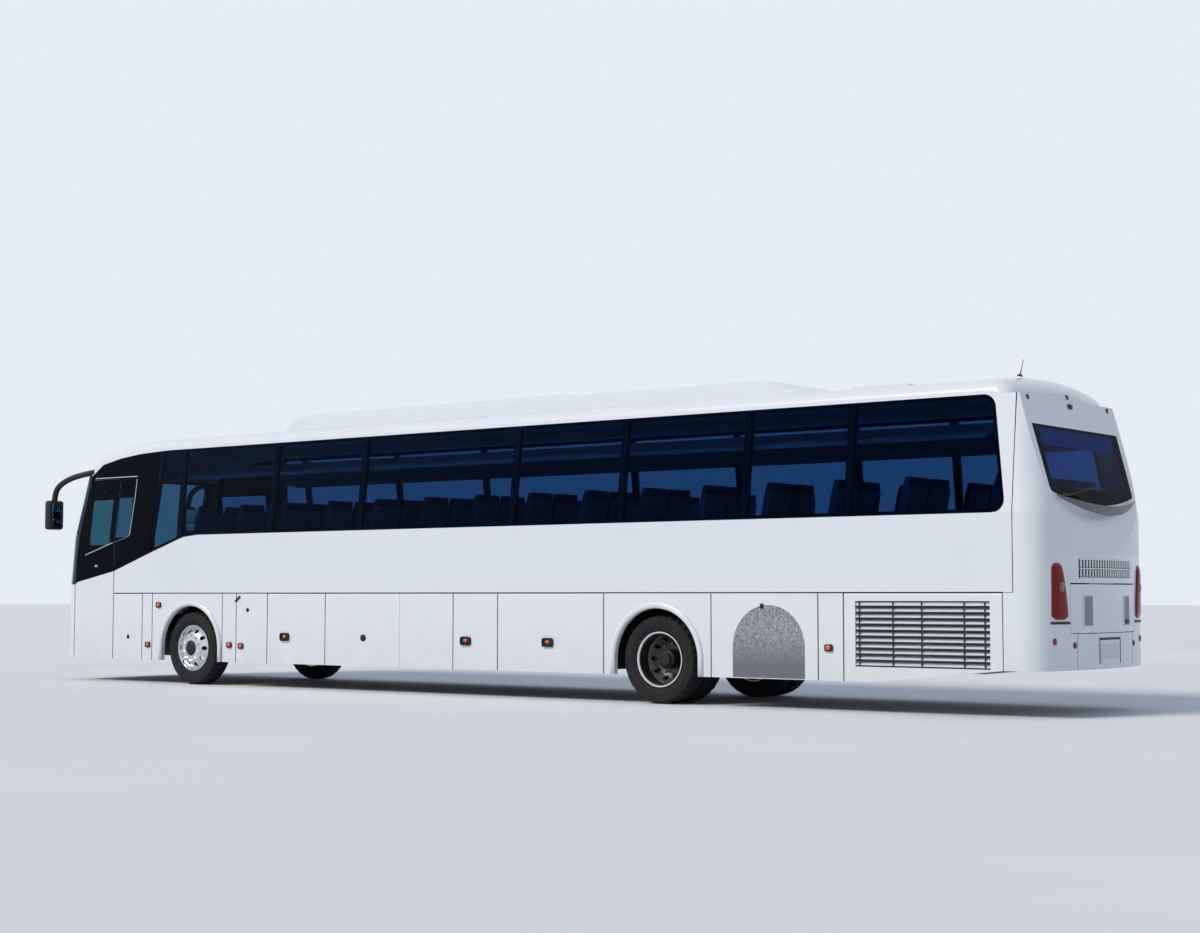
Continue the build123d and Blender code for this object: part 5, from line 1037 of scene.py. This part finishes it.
ridden(joined(bowls, "lamp_bowls"), "coach")
ridden(joined(covers, "lamp_covers"), "coach")

PIVOT_Z, BLADE_Z = 1.27, 1.375


def arm_point(u, v):
    return Vector((nose_x(u, 1.36) + 0.020, u, PIVOT_Z + abs(u) * 0.18 + v))


def blade_point(u, v):
    return Vector((nose_x(u, 1.40) + 0.012, u, BLADE_Z + v))


for side in (1, -1):
    wipers.append(pivot("wiper_pivot", 0.018, (nose_x(0.15, PIVOT_Z), side * 0.12, PIVOT_Z), FORWARDS))
    wipers.append(laid("wiper_arm", arm_point, (side * 0.12, side * 0.62), (-0.008, 0.008), (8, 2),
                       0.006, black_plastic))
    wipers.append(laid("wiper_blade", blade_point, (side * 0.14, side * 0.95), (-0.007, 0.007), (14, 2),
                       0.008, rubber_seal))
ridden(joined(wipers, "screen_wipers"), "coach")
print("nose trims")

# %% [markdown]
# ## Mirrors and antenna
# The mirrors hang from thick moulded arms that reach forward from the roof's corners and curve down at
# their ends. An arm is a curve through a few points with a round section, made a mesh, and its pod is a
# block with wide bevels. The frame has the same arm and pod in plain form, so these pieces replace them.

# %% Mirror arms, pods and glass
ARM = [(6.780, 1.120, 2.885), (7.060, 1.168, 2.848), (7.300, 1.190, 2.790), (7.470, 1.205, 2.710),
       (7.545, 1.215, 2.600), (7.562, 1.215, 2.440)]
ARM_R = 0.040
start_fresh()
bpy.ops.curve.primitive_nurbs_path_add()
arm = bpy.context.object
run = arm.data.splines[0]
run.points.add(len(ARM) - len(run.points))
for point, place in zip(run.points, ARM):
    point.co = (*place, 1)
run.order_u = 3
run.use_endpoint_u = True
arm.data.bevel_depth = ARM_R
arm.data.bevel_resolution = 5
arm.data.use_fill_caps = True
bpy.ops.object.convert(target="MESH")
arm = settle(bpy.context.object, "mirror_arm", black_plastic)
pod = block("mirror_pod", (7.494, 1.085, 2.095), (7.630, 1.335, 2.505), black_plastic, 0.042, 6)
# Silvered glass is a clean mirror, and broad soft patches keep it from looking flat
mirror_glass = finish("silvered_mirror_glass", "#C4CBD2", 0.03, metallic=1.0)
coloured(mirror_glass, clouds(mirror_glass, 400.0, 0.1, 0.9), "#BEC6CE", "#CBD2D8")
upper = block("mirror_face", (7.4905, 1.130, 2.270), (7.4955, 1.290, 2.458), mirror_glass, 0.0015)
lower = block("mirror_low_face", (7.4905, 1.130, 2.142), (7.4955, 1.290, 2.252), mirror_glass, 0.0015)
mirror = joined([pod, arm, upper, lower], "mirror")
for piece in on_sides(mirror, "hanging_mirror", "coach"):
    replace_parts(piece, "mirrors")
discard(mirror)

ANTENNA = [(0.0, 0.0), (0.030, 0.0), (0.028, 0.012), (0.012, 0.022), (0.006, 0.030), (0.0035, 0.10),
           (0.003, 0.17), (0.0, 0.172)]
antenna = turned("roof_antenna", ANTENNA, black_plastic, (-6.99, 0.60, 3.332), (-0.25, 0, 1), steps=24)
ridden(antenna, "coach")
print("mirrors and antenna")

# %% [markdown]
# ## Padded seats
# A coach seat is a foam cushion and a leaning back under tight cloth, on a steel foot, with a hard shell
# behind. One cushion and one back are enough: each starts as a subdivided block, a little smaller than its
# place, and cloth with air pressure inside swells it, so its sides crown as a stuffed pad's do. Sewn
# channels come after that. The pads are copied to every place, and join into two pieces for the passengers
# and two for the driver.

# %% A cushion and a back, swollen by cloth
SEAT_Z, PAD_T, PAD_HALF, BACK_LEAN, SEAT_TOP = 1.690, 0.130, 0.225, 0.130, 2.370
SWELL, CHANNEL_HALF, CHANNEL_DEPTH, SHOULDER = 0.016, 0.026, 0.007, 0.60


def swollen(name, low, high, channels, axis):
    """A block swollen by air pressure, up to 16 mm, with channels drawn in at places along an axis."""
    pad = cube_between(low, high)
    middle = Vector([(a + b) / 2 for a, b in zip(low, high)])
    with editing():
        bpy.ops.mesh.subdivide(number_cuts=8)
    modified(pad, "BEVEL", width=0.020, segments=2, limit_method="ANGLE", angle_limit=math.radians(60))
    before = [vertex.co.copy() for vertex in pad.data.vertices]
    cloth = pad.modifiers.new("cloth", "CLOTH")
    cloth.settings.use_pressure = True
    cloth.settings.uniform_pressure_force = 4.0
    cloth.settings.effector_weights.gravity = 0.0
    scene = bpy.context.scene
    for frame_number in range(1, 21):
        scene.frame_set(frame_number)
    bpy.context.view_layer.objects.active = pad
    bpy.ops.object.modifier_apply(modifier=cloth.name)
    scene.frame_set(1)
    for vertex, start in zip(pad.data.vertices, before):
        moved = vertex.co - start
        if moved.length > SWELL:
            vertex.co = start + moved.normalized() * SWELL
    for vertex in pad.data.vertices:
        nearest = min(abs(vertex.co[axis] - place) for place in channels)
        if nearest < CHANNEL_HALF:
            inwards = middle - vertex.co
            inwards[axis] = 0.0
            vertex.co += inwards.normalized() * CHANNEL_DEPTH * (1 - nearest / CHANNEL_HALF)
    return settle(pad, name, moquette, smooth=50)


cushion = swollen("cushion", (-0.205, -0.215, -0.115), (0.212, 0.215, -0.020), (0.0, 0.12), 0)
back = swollen("back", (-0.078, -0.212, 0.010), (-0.016, 0.212, 0.792), (0.20, 0.40, 0.60), 2)
lean = Matrix.Identity(4)
lean[0][2] = -BACK_LEAN / (SEAT_TOP - SEAT_Z)
leaning = Matrix.Translation((-PAD_HALF, 0, -PAD_T)) @ lean
back.data.transform(leaning)
for vertex in back.data.vertices:
    above_shoulder = max(0.0, vertex.co.z + PAD_T - SHOULDER)
    vertex.co.y *= 1 - 0.9 * above_shoulder ** 2 / 0.25
shell = block("shell", (-0.0885, -0.214, 0.0), (-0.080, 0.214, 0.700), grey_plastic, 0.003)
shell.data.transform(leaning)
print("cushion", len(cushion.data.polygons), "faces, back", len(back.data.polygons), "faces")

# %% [markdown]
# ## Seats in their rows
# Each row has two pairs with an aisle between them, and a bench of five closes the cabin. A steel foot and a
# rail carry each place.

# %% Seats in their rows
ROWS, FIRST_ROW, ROW_PITCH = 14, 2.350, 0.815  # the first row's distance is from the nose
PLACE_W, PAIRS_FROM, DECK_TOP = 0.465, (0.210, -1.140), 1.258
BENCH_PLACES, BENCH_W, BENCH_FROM_TAIL = 5, 2.280, 1.050
DRIVER = (NOSE_X - 1.400, -0.710)
places = []
for row in range(ROWS):
    for near in PAIRS_FROM:
        places += [(NOSE_X - FIRST_ROW - ROW_PITCH * row, near + PLACE_W * (k + 0.5)) for k in range(2)]
bench_step = BENCH_W / BENCH_PLACES
places += [(TAIL_X + BENCH_FROM_TAIL, -BENCH_W / 2 + bench_step * (k + 0.5)) for k in range(BENCH_PLACES)]


def set_down(form, name, spots, height=SEAT_Z):
    return joined([copy_of(form, name, Matrix.Translation((x, y, height))) for x, y in spots], name)


for form, name, spots in ((cushion, "passenger_cushions", places), (back, "passenger_backs", places),
                          (cushion, "driver_cushion", [DRIVER]), (back, "driver_back", [DRIVER])):
    pads = ridden(set_down(form, name, spots), "coach")
    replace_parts(pads, "seats")
foot = block("foot", (-0.16, -0.03, DECK_TOP + 0.001), (0.16, 0.03, 1.565), chassis_enamel, 0.006)
rail = block("rail", (-0.20, -0.20, 1.556), (0.20, 0.20, 1.574), chassis_enamel)
everyone = places + [DRIVER]
frames = [set_down(shell, "seat_shells", everyone), set_down(foot, "feet", everyone, 0),
          set_down(rail, "rails", everyone, 0)]
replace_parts(ridden(joined(frames, "seat_frames"), "coach"), "seats")
discard(cushion, back, shell, foot, rail)
print("places:", len(places), "and the driver's")

# %% [markdown]
# ## Studio
# The coach stands on a pale floor in soft light: a wide sun lights the long side, as in the photograph, and
# the sky fills the tail, which lies in shade. The sky is a pale bluish white to the camera and in
# reflections, and a deeper blue and dimmer as a light.

# %% Floor, sky and sun
start_fresh()
bpy.ops.mesh.primitive_plane_add(size=400)
floor = bpy.context.object
floor.name = "studio_floor"
# Matt painted board, with broad faint patches
pale_floor = finish("pale_studio_floor", "#E4E6E8", 0.8, patches=(3000.0, "#E2E4E6", "#E7E9EB", 1.0))
floor.data.materials.append(pale_floor)

sky = bpy.data.worlds.new("soft_sky")
sky.use_nodes = True
bpy.context.scene.world = sky
light = sky.node_tree.nodes["Background"]
feed(light.inputs["Color"], "#CFDFF6")
feed(light.inputs["Strength"], 0.52)
backdrop = node(sky, "Background", {"Color": "#E6ECF4", "Strength": 1.0})
rays = node(sky, "LightPath").node.outputs
seen = combined(sky, "MAXIMUM", *[rays[f"Is {kind} Ray"] for kind in ("Camera", "Glossy", "Transmission")])
choice = node(sky, "MixShader", (seen, light.outputs[0], backdrop))
feed(sky.node_tree.nodes["World Output"].inputs[0], choice)

sun_data = bpy.data.lights.new("soft_sun", "SUN")
sun_data.energy = 2.15
sun_data.angle = math.radians(20)
sun_data.color = linear("#FFF8EE")[:3]
sun = bpy.data.objects.new("soft_sun", sun_data)
sun.rotation_euler = Vector((-0.35, -0.80, -0.75)).to_track_quat("-Z", "Y").to_euler()
bpy.context.scene.collection.objects.link(sun)
bpy.context.scene.view_settings.view_transform = "Standard"
print("sky and sun")
